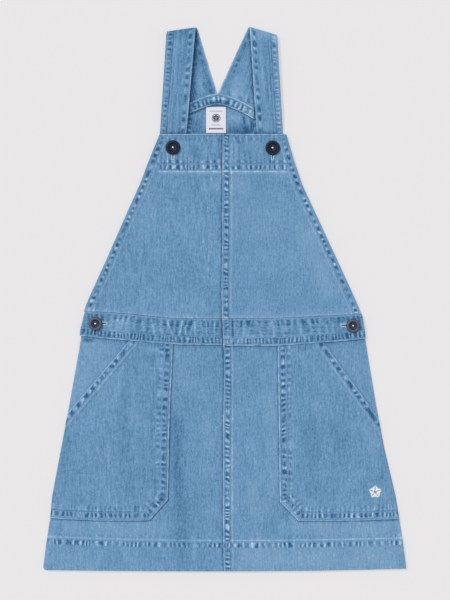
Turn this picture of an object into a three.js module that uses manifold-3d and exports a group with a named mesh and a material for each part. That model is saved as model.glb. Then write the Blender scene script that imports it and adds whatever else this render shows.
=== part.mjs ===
// A child's denim pinafore dress, laid flat on its back with the front up.
// Millimetres. +Y runs from the hem to the shoulders, +X to the viewer's right, +Z from the table up.
// "left" and "right" are the viewer's. The origin is under the middle of the dress, on the table.

import * as THREE from 'three';
import { mergeVertices } from 'three/addons/utils/BufferGeometryUtils.js';
import Module from 'manifold-3d';

// ---- Cloth ------------------------------------------------------------------------------------

const CLOTH = 1.0; // wall of one panel
const TURNING = 0.8; // what a hem, facing or seam lap adds to the wall
const BAND = 3.4; // waistband, a folded strip with the seam turnings inside
const STRAP = 1.6; // shoulder strap, two plies
const GAP = 0.3; // between neighbouring pieces
const STEP = 0.5; // half the run of the slope where a turning ends

// ---- Heights of the horizontal seams ------------------------------------------------------------

const BIB_TOP = 191.5;
const FACING_DEPTH = 41; // turned in at the bib's top
const ARMHOLE_HEM = 10.5;
const HEM_DEPTH = 35;
const HEM = { middle: -315.9, riseLeft: 1.4, riseRight: 3.0, reach: 210 };

// The waistband's two long edges, which climb towards the side seams.
const BAND_TOP = [
  { x: -165, y: -14.4 },
  { x: -135, y: -15.6 },
  { x: -105, y: -17.8 },
  { x: -86, y: -20.2 },
  { x: -60, y: -22.4 },
  { x: -20, y: -22.9 },
  { x: 60, y: -22.3 },
  { x: 100, y: -20.6 },
  { x: 130, y: -19.0 },
  { x: 165, y: -16.8 },
];
const BAND_BOTTOM = [
  { x: -168, y: -42.6 },
  { x: -144, y: -45.4 },
  { x: -105, y: -48.8 },
  { x: -77, y: -51.2 },
  { x: -50, y: -52.9 },
  { x: -4, y: -53.6 },
  { x: 4, y: -54.4 },
  { x: 65, y: -54.0 },
  { x: 100, y: -51.6 },
  { x: 130, y: -49.3 },
  { x: 165, y: -46.2 },
];

// ---- Outlines -----------------------------------------------------------------------------------

// The front as it lies: half its width at each height, and how far its middle drifts sideways.
const OUTLINE = [
  { y: 191.5, half: 73.5, drift: -1.8 },
  { y: 161.5, half: 84.0, drift: -3.5 },
  { y: 133.5, half: 94.0, drift: -4.1 },
  { y: 105.5, half: 106.9, drift: -4.0 },
  { y: 50.0, half: 132.0, drift: -3.3 },
  { y: -6.0, half: 157.5, drift: -3.1 },
  { y: -20.0, half: 162.4, drift: -2.6 },
  { y: -46.0, half: 164.9, drift: -1.7 },
  { y: -117.0, half: 177.1, drift: -2.1 },
  { y: -173.0, half: 187.6, drift: -2.1 },
  { y: -228.5, half: 199.4, drift: -0.8 },
  { y: -256.0, half: 203.0, drift: 0.2 },
  { y: -284.0, half: 207.2, drift: 0.2 },
  { y: -311.5, half: 210.6, drift: 0.2 },
  { y: -315.9, half: 209.3, drift: 1.5 },
];

// The front waistband's two ends.
const BAND_ENDS = [
  { y: -15, left: -162.2, right: 158.8 },
  { y: -24, left: -164.3, right: 160.8 },
  { y: -35, left: -167.5, right: 162.8 },
  { y: -42, left: -167.9, right: 163.6 },
  { y: -47, left: -166.2, right: 163.9 },
];

// The back bodice, narrow where the straps meet it and hidden under the bib below.
const BACK = [
  { y: 240, left: -42, right: 36 },
  { y: 191, left: -47, right: 42 },
  { y: 150, left: -63, right: 57 },
  { y: 100, left: -92, right: 84 },
  { y: 50, left: -118, right: 110 },
  { y: -20, left: -156, right: 150 },
];

// Each patch pocket: the edge towards the side, with the slanted opening first, the inner edge, and
// the lower edge, lowest at `at`.
const POCKET_LEFT = {
  edges: [
    { y: -44, outer: -106.9, inner: -59.6 },
    { y: -83, outer: -140.2, inner: -61.0 },
    { y: -124, outer: -175.2, inner: -63.2 },
    { y: -131.4, outer: -181.4, inner: -63.4 },
    { y: -147, outer: -185.2, inner: -63.9 },
    { y: -233, outer: null, inner: -65.6 },
    { y: -257, outer: null, inner: -87.2 },
  ],
  foot: { low: -257.2, rise: 2.2, at: -122, reach: 66 },
};
const POCKET_RIGHT = {
  edges: [
    { y: -50, outer: 115.0, inner: 61.6 },
    { y: -124, outer: 168.5, inner: 62.8 },
    { y: -138.4, outer: 178.9, inner: 63.0 },
    { y: -150, outer: 181.0, inner: 63.1 },
    { y: -235, outer: null, inner: 64.2 },
    { y: -257.4, outer: null, inner: 86.0 },
  ],
  foot: { low: -257.4, rise: 1.5, at: 115, reach: 70 },
};
const POCKET_HEM = 10; // turned in round the patch
const POCKET_SIDE_INSET = 0.6; // from the front's side seam

// The centre seam, where the right half laps over the left.
const SEAM = [
  { y: 191.5, x: -2.4 },
  { y: 50, x: -2.8 },
  { y: 15, x: -3.7 },
  { y: -12, x: -3.2 },
  { y: -20, x: -2.9 },
  { y: -54, x: -1.8 },
  { y: -62, x: -0.7 },
  { y: -110, x: -1.0 },
  { y: -135, x: -1.9 },
  { y: -160, x: -1.9 },
  { y: -200, x: -2.0 },
  { y: -250, x: -2.1 },
  { y: -315.9, x: -1.0 },
];
const BIB_LAP = 8.7;
const SKIRT_LAP = 11.4;

// ---- Straps -------------------------------------------------------------------------------------

// Corners of each strap: its two front corners, the fold over the shoulder, and its back end.
// slide is how far it moves sideways as it turns over the shoulder.
const STRAP_ROUTES = {
  left: {
    front: [[-77.4, 155], [-47.2, 155]],
    fold: [[-67.8, 310.8], [-34.0, 315.6]],
    slide: 2.6,
    back: [[-42.0, 223.5], [-8.5, 237.6]],
  },
  right: {
    front: [[39.9, 155], [70.0, 155]],
    fold: [[30.1, 316.2], [62.1, 306.7]],
    slide: -2.9,
    back: [[-8.1, 237.6], [35.6, 219.5]],
  },
};
const FOLD_RADIUS = 2.25; // of the strap's middle surface over the shoulder
const FOLD_STEPS = 8;
// Height of the strap's underside along each leg.
const FRONT_LEG = [
  { y: 272, z: 4.5 },
  { y: 216, z: 4.5 },
  { y: 205, z: 3.0 },
  { y: 193, z: 1.3 },
  { y: 172, z: 1.3 },
];
const BACK_LEG = [
  { y: 290, z: 0 },
  { y: 266, z: 0 },
  { y: 254, z: 0.6 },
  { y: 243, z: 1.3 },
  { y: 230, z: 1.3 },
];

// ---- Neckline -----------------------------------------------------------------------------------

const NECK = { x: -7.5, y: 238.4, left: -40.4, right: 34.4, fallLeft: 10.6, fallRight: 17.2 };
const NECK_BAND = 12.6;
const LABEL = { x: -9.8, width: 23.4, top: 223.4, bottom: 192.4 };

// ---- Buttons ------------------------------------------------------------------------------------

// Shank buttons through buttonholes. reach is how far the slit runs from the button, along toX or toY.
const BUTTONS = [
  { name: 'bib_left', x: -59.7, y: 175.7, radius: 8.5, seat: 5.3, ply: 2.9, toX: 0, toY: -1, reach: 13.4 },
  { name: 'bib_right', x: 55.8, y: 175.3, radius: 8.5, seat: 5.3, ply: 2.9, toX: 0, toY: -1, reach: 13.4 },
  { name: 'waist_left', x: -149.5, y: -28.5, radius: 7.9, seat: 6.0, ply: 2.0, toX: 1, toY: 0, reach: 13.8 },
  { name: 'waist_right', x: 148.9, y: -30.9, radius: 7.9, seat: 6.0, ply: 2.0, toX: -1, toY: 0, reach: 14.4 },
];
const SHANK_RADIUS = 2.4;
const BORE_RADIUS = 1.4;
const PIN_RADIUS = 1.1;
const TACK = { radius: 4.6, head: 0.7, drop: { bib: 1.3, waist: 1.0 } };
const CAP_HEIGHT = 3.2;
const EYE_RADIUS = 3.0;
const SLIT = 1.2;
const ROUND = 20; // facets round a button

// ---- Levels -------------------------------------------------------------------------------------

const BACK_TOP = CLOTH;
const FRONT_UNDER = 2.3; // underside of the front panels
const BIB_UNDER = 3.2; // and over the strap ends
const SIDE_UNDER = BACK_TOP + GAP;
const SIDE_RUN = 15; // over which the front comes down to its side seam
const SIDE_BENDS = [4, 8, 12, 16];
const TUCK_BENDS = [4.4, 16]; // below the waistband, over the back waistband's lower edge
const HEM_UNDER = BACK_TOP + TURNING + GAP;
const TACK_LIFT = 1.0; // of the back waistband's ends, over the tack heads
const POCKET_LIFT = CLOTH + 0.5; // the patches follow the front's swells, a little clear of it

// Soft lengthwise swells in the skirt's front, each growing downwards from its start.
const SWELLS = [
  { x: -142, width: 26, height: 0.5, from: -110 },
  { x: -84, width: 24, height: 0.6, from: -90 },
  { x: -28, width: 22, height: 0.5, from: -140 },
  { x: 34, width: 24, height: 0.6, from: -80 },
  { x: 104, width: 26, height: 0.6, from: -120 },
];

// ---- Small helpers --------------------------------------------------------------------------------

const { lerp, smoothstep, clamp } = THREE.MathUtils;

// Straight-line reading of a table whose rows run from high y to low y.
function read(table, y, key) {
  const after = table.findIndex((row) => row.y <= y);
  if (after === 0) return table[0][key];
  if (after < 0) return table[table.length - 1][key];
  const [upper, lower] = [table[after - 1], table[after]];
  return lerp(upper[key], lower[key], (upper.y - y) / (upper.y - lower.y));
}

// The same for a table whose rows run from left to right and give y.
function along(table, x) {
  const after = table.findIndex((row) => row.x >= x);
  if (after === 0) return table[0].y;
  if (after < 0) return table[table.length - 1].y;
  const [before, next] = [table[after - 1], table[after]];
  return lerp(before.y, next.y, (x - before.x) / (next.x - before.x));
}

const sideX = (y, side) => read(OUTLINE, y, 'drift') + side * read(OUTLINE, y, 'half');
const seamX = (y) => read(SEAM, y, 'x');
const bandTop = (x) => along(BAND_TOP, x);
const bandBottom = (x) => along(BAND_BOTTOM, x);
const hemY = (x) => HEM.middle + (x < 0 ? HEM.riseLeft : HEM.riseRight) * (x / HEM.reach) ** 2;

function neckY(x) {
  const [end, fall] = x < NECK.x ? [NECK.left, NECK.fallLeft] : [NECK.right, NECK.fallRight];
  return NECK.y - fall * ((x - NECK.x) / (end - NECK.x)) ** 1.5;
}

function swell(x, y) {
  return SWELLS.reduce((sum, s) => {
    const grown = smoothstep(s.from - y, 0, 60);
    return sum + s.height * grown * Math.exp(-(((x - s.x) / s.width) ** 2));
  }, 0);
}

// Underside of the skirt's front: low at the side seams and swelling between.
function skirtUnder(x, y) {
  const inFromSide = Math.min(x - sideX(y, -1), sideX(y, 1) - x);
  const ramp = smoothstep(inFromSide, 0, SIDE_RUN);
  const hem = smoothstep(hemY(x) + HEM_DEPTH + 6 - y, 0, 6);
  const waist = smoothstep(y - bandBottom(x), -TUCK_BENDS[1], -TUCK_BENDS[0]);
  const side = lerp(lerp(SIDE_UNDER, HEM_UNDER, hem), FRONT_UNDER, waist);
  return lerp(side, FRONT_UNDER, ramp) + ramp * swell(x, y);
}

const bibUnder = (x, y) => lerp(FRONT_UNDER, BIB_UNDER, smoothstep(y, 110, 150));

// ---- Solids ---------------------------------------------------------------------------------------

function geometryOf(points, triangles) {
  const geometry = new THREE.BufferGeometry();
  geometry.setAttribute('position', new THREE.Float32BufferAttribute(points.flat(), 3));
  geometry.setIndex(triangles.flat());
  return geometry;
}

// A closed sheet from a grid of top and bottom points, grid[row][column] = { x, y, under, over }.
function sheet(grid) {
  const [rows, columns] = [grid.length, grid[0].length];
  const points = [];
  for (const side of ['over', 'under']) {
    for (const row of grid) {
      for (const p of row) points.push([p.x, p.y, p[side]]);
    }
  }
  const at = (i, j, below) => below * rows * columns + i * columns + j;
  const triangles = [];
  const quad = (a, b, c, d) => triangles.push([a, b, c], [a, c, d]);
  for (let i = 0; i + 1 < rows; i += 1) {
    for (let j = 0; j + 1 < columns; j += 1) {
      quad(at(i, j, 0), at(i, j + 1, 0), at(i + 1, j + 1, 0), at(i + 1, j, 0));
      quad(at(i, j, 1), at(i + 1, j, 1), at(i + 1, j + 1, 1), at(i, j + 1, 1));
    }
  }
  for (let j = 0; j + 1 < columns; j += 1) {
    const last = rows - 1;
    quad(at(0, j, 1), at(0, j + 1, 1), at(0, j + 1, 0), at(0, j, 0));
    quad(at(last, j + 1, 1), at(last, j, 1), at(last, j, 0), at(last, j + 1, 0));
  }
  for (let i = 0; i + 1 < rows; i += 1) {
    const last = columns - 1;
    quad(at(i + 1, 0, 1), at(i, 0, 1), at(i, 0, 0), at(i + 1, 0, 0));
    quad(at(i, last, 1), at(i + 1, last, 1), at(i + 1, last, 0), at(i, last, 0));
  }
  return geometryOf(points, triangles);
}

// Distances across a span: its ends, the bends near each of them, and even steps between.
function lines(length, startBends, endBends, cells) {
  const start = [0, ...startBends];
  const end = [length, ...endBends.map((bend) => length - bend)].reverse();
  const [from, to] = [start[start.length - 1], end[0]];
  const between = Array.from({ length: cells - 1 }, (_, k) => lerp(from, to, (k + 1) / cells));
  return [...start, ...between, ...end];
}

// The bends of an edge: a short slope where its turning ends, and any that the cloth has there.
function bendsOf(turning, cloth) {
  const slope = turning ? [turning - STEP, turning + STEP] : [];
  return [...slope, ...cloth].sort((a, b) => a - b);
}

const within = (distance, turning) => turning > 0 && distance < turning;

const NO_EDGES = { left: 0, right: 0, bottom: 0, top: 0 };
const NO_BENDS = { left: [], right: [], bottom: [], top: [] };

// One cut panel. left and right give x at a height, bottom and top give y at a place across, under
// gives the underside, turnings are the widths turned in along each edge, and bends are further
// distances from an edge where the cloth changes slope.
function panel({ left, right, bottom, top, under, wall = CLOTH, turnings, bends, cells }) {
  const turned = { ...NO_EDGES, ...turnings };
  const own = { ...NO_BENDS, ...bends };
  const at = Object.fromEntries(Object.keys(turned).map((e) => [e, bendsOf(turned[e], own[e])]));
  const across = (y) => lines(right(y) - left(y), at.left, at.right, cells.x);
  const middle = (left(0) + right(0)) / 2;
  const height = top(middle) - bottom(middle);
  const grid = lines(height, at.bottom, at.top, cells.y).map((rise) =>
    across(0).map((_, column) => {
      let y = bottom(middle) + rise;
      let x = middle;
      for (let pass = 0; pass < 3; pass += 1) {
        x = left(y) + across(y)[column];
        y = lerp(bottom(x), top(x), rise / height);
      }
      const doubled = within(x - left(y), turned.left) || within(right(y) - x, turned.right) ||
        within(rise, turned.bottom) || within(height - rise, turned.top);
      const z = under(x, y);
      return { x, y, under: z, over: z + wall + (doubled ? TURNING : 0) };
    }));
  return sheet(grid);
}

// A flat ribbon through sections of { left, right, normal }, each with its wall across the normal.
function ribbon(sections, wall) {
  const points = sections.flatMap(({ left, right, normal }) => {
    const off = normal.clone().multiplyScalar(wall / 2);
    return [
      left.clone().add(off),
      right.clone().add(off),
      right.clone().sub(off),
      left.clone().sub(off),
    ].map((p) => p.toArray());
  });
  const triangles = [[2, 1, 0], [3, 2, 0]];
  const last = (sections.length - 1) * 4;
  triangles.push([last, last + 1, last + 2], [last, last + 2, last + 3]);
  for (let s = 0; s + 1 < sections.length; s += 1) {
    for (let k = 0; k < 4; k += 1) {
      const [a, b] = [s * 4 + k, s * 4 + ((k + 1) % 4)];
      triangles.push([a, b, b + 4], [a, b + 4, a + 4]);
    }
  }
  return geometryOf(points, triangles);
}

// ---- Cutting --------------------------------------------------------------------------------------

const wasm = await Module();
wasm.setup();

function toManifold(geometry) {
  const bare = geometry.index ? geometry.clone() : geometry;
  bare.deleteAttribute('normal');
  bare.deleteAttribute('uv');
  const merged = mergeVertices(bare, 1e-4);
  return new wasm.Manifold(new wasm.Mesh({
    numProp: 3,
    vertProperties: new Float32Array(merged.attributes.position.array),
    triVerts: new Uint32Array(merged.index.array),
  }));
}

function fromManifold(solid) {
  const mesh = solid.getMesh();
  const geometry = new THREE.BufferGeometry();
  geometry.setAttribute('position', new THREE.BufferAttribute(mesh.vertProperties, 3));
  geometry.setIndex(new THREE.BufferAttribute(mesh.triVerts, 1));
  return geometry;
}

const cut = (geometry, tool) => fromManifold(toManifold(geometry).subtract(toManifold(tool)));

const CUT_DEPTH = 12;

// A keyhole buttonhole: a round eye at the button and a slit on the side it is pushed out through.
function buttonholeTool({ x, y, toX, toY, reach }) {
  const outline = new THREE.Shape();
  const meet = Math.asin(SLIT / 2 / EYE_RADIUS);
  const facing = Math.atan2(toY, toX);
  outline.absarc(0, 0, EYE_RADIUS, facing + meet, facing + 2 * Math.PI - meet, false);
  outline.lineTo(toX * reach + (toY * SLIT) / 2, toY * reach - (toX * SLIT) / 2);
  outline.lineTo(toX * reach - (toY * SLIT) / 2, toY * reach + (toX * SLIT) / 2);
  outline.closePath();
  const tool = new THREE.ExtrudeGeometry(outline, { depth: CUT_DEPTH, bevelEnabled: false, curveSegments: 10 });
  return tool.translate(x, y, -1);
}

function pinHoleTool({ x, y }) {
  const tool = new THREE.CylinderGeometry(BORE_RADIUS, BORE_RADIUS, CUT_DEPTH, 12);
  return tool.rotateX(Math.PI / 2).translate(x, y, CUT_DEPTH / 2 - 1);
}

// ---- Materials ------------------------------------------------------------------------------------

const denim = (color) => new THREE.MeshStandardMaterial({ color, roughness: 0.92, metalness: 0 });
const FRONT_DENIM = denim('#6f97ba');
const LIT_DENIM = denim('#7a9fc0');
const INSIDE_DENIM = denim('#6088ad');
const LABEL_TAPE = new THREE.MeshStandardMaterial({ color: '#eef0f2', roughness: 0.8, metalness: 0 });
const BUTTON_METAL = new THREE.MeshStandardMaterial({ color: '#272b35', roughness: 0.4, metalness: 0.8 });
const TACK_METAL = new THREE.MeshStandardMaterial({ color: '#b9bcc0', roughness: 0.35, metalness: 1 });

const group = new THREE.Group();

function add(name, geometry, material) {
  const mesh = new THREE.Mesh(geometry, material);
  mesh.name = name;
  group.add(mesh);
}

// ---- Bib, waistband and skirt front -----------------------------------------------------------------

const button = (name) => BUTTONS.find((b) => b.name === name);

// One half of the front, as the edges towards the side and towards the centre seam.
const HALVES = {
  left: { left: (y) => sideX(y, -1), right: (y) => seamX(y) - GAP },
  right: { left: seamX, right: (y) => sideX(y, 1) },
};

function addBib(side) {
  const armhole = side === 'left' ? { left: ARMHOLE_HEM } : { right: ARMHOLE_HEM, left: BIB_LAP };
  const cloth = panel({
    ...HALVES[side],
    bottom: (x) => bandTop(x) + GAP,
    top: () => BIB_TOP,
    under: bibUnder,
    turnings: { ...armhole, top: FACING_DEPTH },
    cells: { x: 5, y: 8 },
  });
  add(`bib_${side}`, cut(cloth, buttonholeTool(button(`bib_${side}`))), FRONT_DENIM);
}

function addBand(side) {
  const ends = side === 'left'
    ? { left: (y) => read(BAND_ENDS, y, 'left'), right: (y) => seamX(y) - GAP }
    : { left: seamX, right: (y) => read(BAND_ENDS, y, 'right') };
  const cloth = panel({
    ...ends,
    bottom: bandBottom,
    top: bandTop,
    under: () => FRONT_UNDER,
    wall: BAND,
    cells: { x: 12, y: 4 },
  });
  add(`waistband_${side}`, cut(cloth, buttonholeTool(button(`waist_${side}`))), LIT_DENIM);
}

function addSkirtFront(side) {
  add(`skirt_front_${side}`, panel({
    ...HALVES[side],
    bottom: hemY,
    top: (x) => bandBottom(x) - GAP,
    under: skirtUnder,
    turnings: { bottom: HEM_DEPTH, left: side === 'right' ? SKIRT_LAP : 0 },
    bends: { [side]: SIDE_BENDS, top: TUCK_BENDS },
    cells: { x: 12, y: 9 },
  }), FRONT_DENIM);
}

// A pocket lies on the skirt's front, its opening edge running from the waistband to the side seam.
function addPocket(side, { edges, foot }) {
  const sign = side === 'left' ? -1 : 1;
  const seam = (y) => sideX(y, sign) - sign * POCKET_SIDE_INSET;
  const opening = edges.filter((row) => row.outer !== null);
  const slantEnd = opening[opening.length - 1].y;
  const outer = (y) => (y > slantEnd ? read(opening, y, 'outer') : seam(y));
  const inner = (y) => read(edges, y, 'inner');
  add(`pocket_${side}`, panel({
    left: side === 'left' ? outer : inner,
    right: side === 'left' ? inner : outer,
    bottom: (x) => foot.low + foot.rise * ((x - foot.at) / foot.reach) ** 2,
    top: (x) => bandBottom(x) - GAP,
    under: (x, y) => skirtUnder(x, y) + POCKET_LIFT,
    turnings: { left: POCKET_HEM, right: POCKET_HEM, bottom: POCKET_HEM },
    bends: { [side]: SIDE_BENDS },
    cells: { x: 6, y: 10 },
  }), FRONT_DENIM);
}

// ---- Back -----------------------------------------------------------------------------------------

const BACK_INSET = 0.8; // the back's side edges stay under the front's
const BAND_PEEK = { left: 5.4, right: 3.4 }; // the back waistband's ends show below the front's

const backBandBottom = (x) =>
  bandBottom(x) - (x < 0 ? BAND_PEEK.left : BAND_PEEK.right) * smoothstep(Math.abs(x), 136, 152);

function addBack() {
  add('back_bodice', panel({
    left: (y) => read(BACK, y, 'left'),
    right: (y) => read(BACK, y, 'right'),
    bottom: (x) => bandTop(x) + 3 * GAP,
    top: (x) => neckY(clamp(x, NECK.left, NECK.right)) - 1,
    under: () => 0,
    cells: { x: 10, y: 8 },
  }), INSIDE_DENIM);

  add('back_waistband', [button('waist_left'), button('waist_right')].map(pinHoleTool).reduce(cut, panel({
    left: (y) => read(BAND_ENDS, y, 'left') + 3,
    right: (y) => read(BAND_ENDS, y, 'right') - 3,
    bottom: backBandBottom,
    top: bandTop,
    under: (x) => TACK_LIFT * smoothstep(Math.abs(x), 118, 136),
    cells: { x: 24, y: 2 },
  })), INSIDE_DENIM);

  add('skirt_back', panel({
    left: (y) => sideX(y, -1) + BACK_INSET,
    right: (y) => sideX(y, 1) - BACK_INSET,
    bottom: (x) => hemY(x) + BACK_INSET,
    top: (x) => backBandBottom(x) - 2 * BACK_INSET,
    under: () => 0,
    turnings: { bottom: HEM_DEPTH },
    cells: { x: 14, y: 8 },
  }), INSIDE_DENIM);
}

// The strip that covers the strap ends along the back neckline, and the blank label below it.
function addNeckline() {
  const over = BACK_TOP + GAP + STRAP + GAP;
  add('back_neck_facing', panel({
    left: () => NECK.left,
    right: () => NECK.right,
    bottom: (x) => neckY(x) - NECK_BAND,
    top: neckY,
    under: () => over,
    cells: { x: 12, y: 2 },
  }), INSIDE_DENIM);

  const { x, width, top, bottom } = LABEL;
  add('neck_label', panel({
    left: () => x - width / 2,
    right: () => x + width / 2,
    bottom: () => bottom,
    top: () => top,
    under: () => BACK_TOP + GAP,
    cells: { x: 2, y: 3 },
  }), LABEL_TAPE);
}

// ---- Straps ---------------------------------------------------------------------------------------

const UP = new THREE.Vector3(0, 0, 1);

// Sections along one leg, between two pairs of corners, one for each row of the table between them.
function legSections(from, to, table, normal) {
  const middle = (corners) => (corners[0][1] + corners[1][1]) / 2;
  const share = (y) => (y - middle(from)) / (middle(to) - middle(from));
  const between = table.map((row) => share(row.y)).filter((s) => s > 0.02 && s < 0.98);
  return [0, ...between.sort((a, b) => a - b), 1].map((s) => {
    const z = read(table, lerp(middle(from), middle(to), s), 'z') + STRAP / 2;
    const [left, right] = [0, 1].map((e) =>
      new THREE.Vector3(lerp(from[e][0], to[e][0], s), lerp(from[e][1], to[e][1], s), z));
    return { left, right, normal };
  });
}

function strap({ front, fold, slide, back }) {
  const run = new THREE.Vector3(fold[1][0] - fold[0][0], fold[1][1] - fold[0][1], 0).normalize();
  const out = new THREE.Vector3().crossVectors(UP, run);
  const inset = FOLD_RADIUS + STRAP / 2;
  const spring = fold.map(([x, y]) => [x - out.x * inset, y - out.y * inset]);
  const down = UP.clone().negate();
  const legs = {
    front: legSections(front, spring, FRONT_LEG, UP),
    back: legSections(spring.map(([x, y]) => [x + slide, y]), back, BACK_LEG, down),
  };
  const height = STRAP / 2 + FOLD_RADIUS;
  const turn = Array.from({ length: FOLD_STEPS - 1 }, (_, k) => {
    const share = (k + 1) / FOLD_STEPS;
    const angle = share * Math.PI;
    const normal = UP.clone().multiplyScalar(Math.cos(angle)).addScaledVector(out, Math.sin(angle));
    const [left, right] = spring.map(([x, y]) =>
      new THREE.Vector3(x + slide * share, y, height).addScaledVector(normal, FOLD_RADIUS));
    return { left, right, normal };
  });
  return ribbon([...legs.front, ...turn, ...legs.back], STRAP);
}

// ---- Buttons --------------------------------------------------------------------------------------

const lathe = (profile) => new THREE.LatheGeometry(
  profile.map(([r, z]) => new THREE.Vector2(r, z)),
  ROUND,
).rotateX(Math.PI / 2);

// A dished cap on a bored shank: foot is the shank's lower end, seat the cap's underside.
function buttonSolid(radius, foot, seat) {
  const top = seat + CAP_HEIGHT;
  const bowl = radius * 0.56;
  return lathe([
    [0, seat + 0.9],
    [BORE_RADIUS, seat + 0.9],
    [BORE_RADIUS, foot],
    [SHANK_RADIUS, foot],
    [SHANK_RADIUS, seat],
    [radius - 1.2, seat],
    [radius, seat + 0.9],
    [radius - 0.3, seat + 2.0],
    [radius * 0.8, top],
    [bowl + 0.4, top - 0.3],
    [bowl, top - 1.3],
    [1.6, top - 1.6],
    [1.4, top - 0.8],
    [0.8, top - 0.4],
    [0, top - 0.3],
  ]);
}

// The tack that holds it: a flat head under the ply and a pin up into the shank's bore.
function tackSolid(headTop, pinTop) {
  return lathe([
    [0, headTop - TACK.head],
    [TACK.radius - 0.3, headTop - TACK.head],
    [TACK.radius, headTop - TACK.head / 2],
    [TACK.radius, headTop],
    [PIN_RADIUS, headTop],
    [PIN_RADIUS, pinTop],
    [0, pinTop],
  ]);
}

function addButton({ name, x, y, radius, seat, ply }) {
  const [place] = name.split('_');
  const headTop = TACK.drop[place] - GAP;
  const cap = buttonSolid(radius, ply + GAP, seat).translate(x, y, 0);
  const tack = tackSolid(headTop, seat + 0.9 - GAP).translate(x, y, 0);
  add(`button_${name}`, cap, BUTTON_METAL);
  add(`tack_${name}`, tack, TACK_METAL);
}

// ---- Assembly -------------------------------------------------------------------------------------

for (const side of ['left', 'right']) {
  addBib(side);
  addBand(side);
  addSkirtFront(side);
  add(`strap_${side}`, cut(strap(STRAP_ROUTES[side]), pinHoleTool(button(`bib_${side}`))), LIT_DENIM);
}
addPocket('left', POCKET_LEFT);
addPocket('right', POCKET_RIGHT);
addBack();
addNeckline();
BUTTONS.forEach(addButton);

export default group;
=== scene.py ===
"""A child's denim pinafore dress laid flat on its back: its cloth, stitching, buttons and label.

Lengths are millimetres, as a dressmaker states them, and MM turns them to metres where a mesh,
a light or the camera is made. X runs to the viewer's right, Y from the hem to the shoulders and
Z up from the table. "left" and "right" are the viewer's.
"""

from __future__ import annotations

import logging
import math
from dataclasses import dataclass, field
from enum import Enum
from typing import Any, Callable, ClassVar, Iterable, Sequence

import bpy
import numpy as np
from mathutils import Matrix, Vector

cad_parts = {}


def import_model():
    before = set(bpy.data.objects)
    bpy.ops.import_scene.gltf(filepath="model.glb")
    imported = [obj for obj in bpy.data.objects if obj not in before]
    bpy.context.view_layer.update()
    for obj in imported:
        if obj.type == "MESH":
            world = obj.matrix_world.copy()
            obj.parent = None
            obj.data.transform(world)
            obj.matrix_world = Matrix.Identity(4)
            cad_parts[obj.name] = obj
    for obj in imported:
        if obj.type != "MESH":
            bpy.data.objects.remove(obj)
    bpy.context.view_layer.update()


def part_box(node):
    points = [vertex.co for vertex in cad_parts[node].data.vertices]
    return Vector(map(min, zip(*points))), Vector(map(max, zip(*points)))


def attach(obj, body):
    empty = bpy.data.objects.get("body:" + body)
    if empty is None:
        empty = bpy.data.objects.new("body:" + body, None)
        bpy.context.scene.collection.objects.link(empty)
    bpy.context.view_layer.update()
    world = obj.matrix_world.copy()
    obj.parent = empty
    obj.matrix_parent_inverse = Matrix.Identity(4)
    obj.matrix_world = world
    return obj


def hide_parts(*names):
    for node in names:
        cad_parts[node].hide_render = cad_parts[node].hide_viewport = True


LOG = logging.getLogger("pinafore")
MM = 0.001
TAU = 2 * math.pi
UP = np.array([0.0, 0.0, 1.0])
# half the thickness of the thread, how long a stitch is and how far it is to the next one
THREAD, STITCH, STEP = 0.27, 2.3, 3.0
# the same for satin stitch, whose stitches lie side by side
SATIN, SATIN_STEP = 0.36, 0.62
# how near an edge a stitch may come
MARGIN = 0.9
# how far from a cut edge the mesh has lines, so that the edge rounds off
RIM = (0.0, 0.12, 0.35, 0.7, 1.2)
# lines nearer to each other than this become one
TOUCHING = 0.22
# how far apart the pieces lie on the pattern of the yarns, so that no two look alike
APART = 211.0
# large primes that scatter whole numbers over a 32-bit word, and how far apart rows of noise lie
PRIMES, WORD, ROW_APART = (374761393, 668265263, 1274126177), 0xFFFFFFFF, 1009.0

Array = np.ndarray
Across = Callable[[Array], Array]
Field = Callable[[Array, Array], Array]
Point = tuple[float, float]
Rows = Sequence[tuple[float, ...]]


# ---- Numbers ----------------------------------------------------------------------------------


def smoothstep(low: float, high: float, value: Array) -> Array:
    """Rise smoothly from 0 where the value is low to 1 where it is high."""
    share = np.clip((value - low) / (high - low), 0, 1)
    return share * share * (3 - 2 * share)


def lerp(start: Array | float, end: Array | float, share: Array | float) -> Array:
    """Go from start to end by a share of the way."""
    return start + (end - start) * share


def bell(place: Array, middle: float, width: float) -> Array:
    """Make a smooth bump of height 1 round a middle."""
    return np.exp(-(((place - middle) / width) ** 2))


def hashed(cell: Array, seed: int) -> Array:
    """Give each whole-number cell its own fixed value.

    Args:
        cell: Cell numbers.
        seed: Which of many such sets of values.

    Returns:
        Values from -1 to 1.
    """
    mixed = (cell.astype(np.int64) * PRIMES[0] + seed * PRIMES[1]) & WORD
    mixed = ((mixed ^ (mixed >> 13)) * PRIMES[2]) & WORD
    return ((mixed ^ (mixed >> 16)) & 0xFFFF) / 32767.5 - 1


def noise(place: Array, seed: int) -> Array:
    """Make smooth noise along a line, with one fixed value at each whole number."""
    cell = np.floor(place)
    return lerp(hashed(cell, seed), hashed(cell + 1, seed), smoothstep(0, 1, place - cell))


def noise2(x: Array, y: Array, seed: int) -> Array:
    """Make smooth noise over a plane, with one fixed value at each whole-number point."""
    row = np.floor(y)
    return lerp(*(noise(x + ROW_APART * r, seed) for r in (row, row + 1)), smoothstep(0, 1, y - row))


def patchy(cloud: Array) -> Array:
    """Turn noise into a share that makes what it is laid on stronger here and weaker there."""
    return 0.85 + 0.4 * cloud


def read(rows: Rows, y: Array, column: int) -> Array:
    """Read one column of a table whose first column falls from high y to low y."""
    table = np.array(rows, float)[::-1]
    return np.interp(y, table[:, 0], table[:, column])


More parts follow.
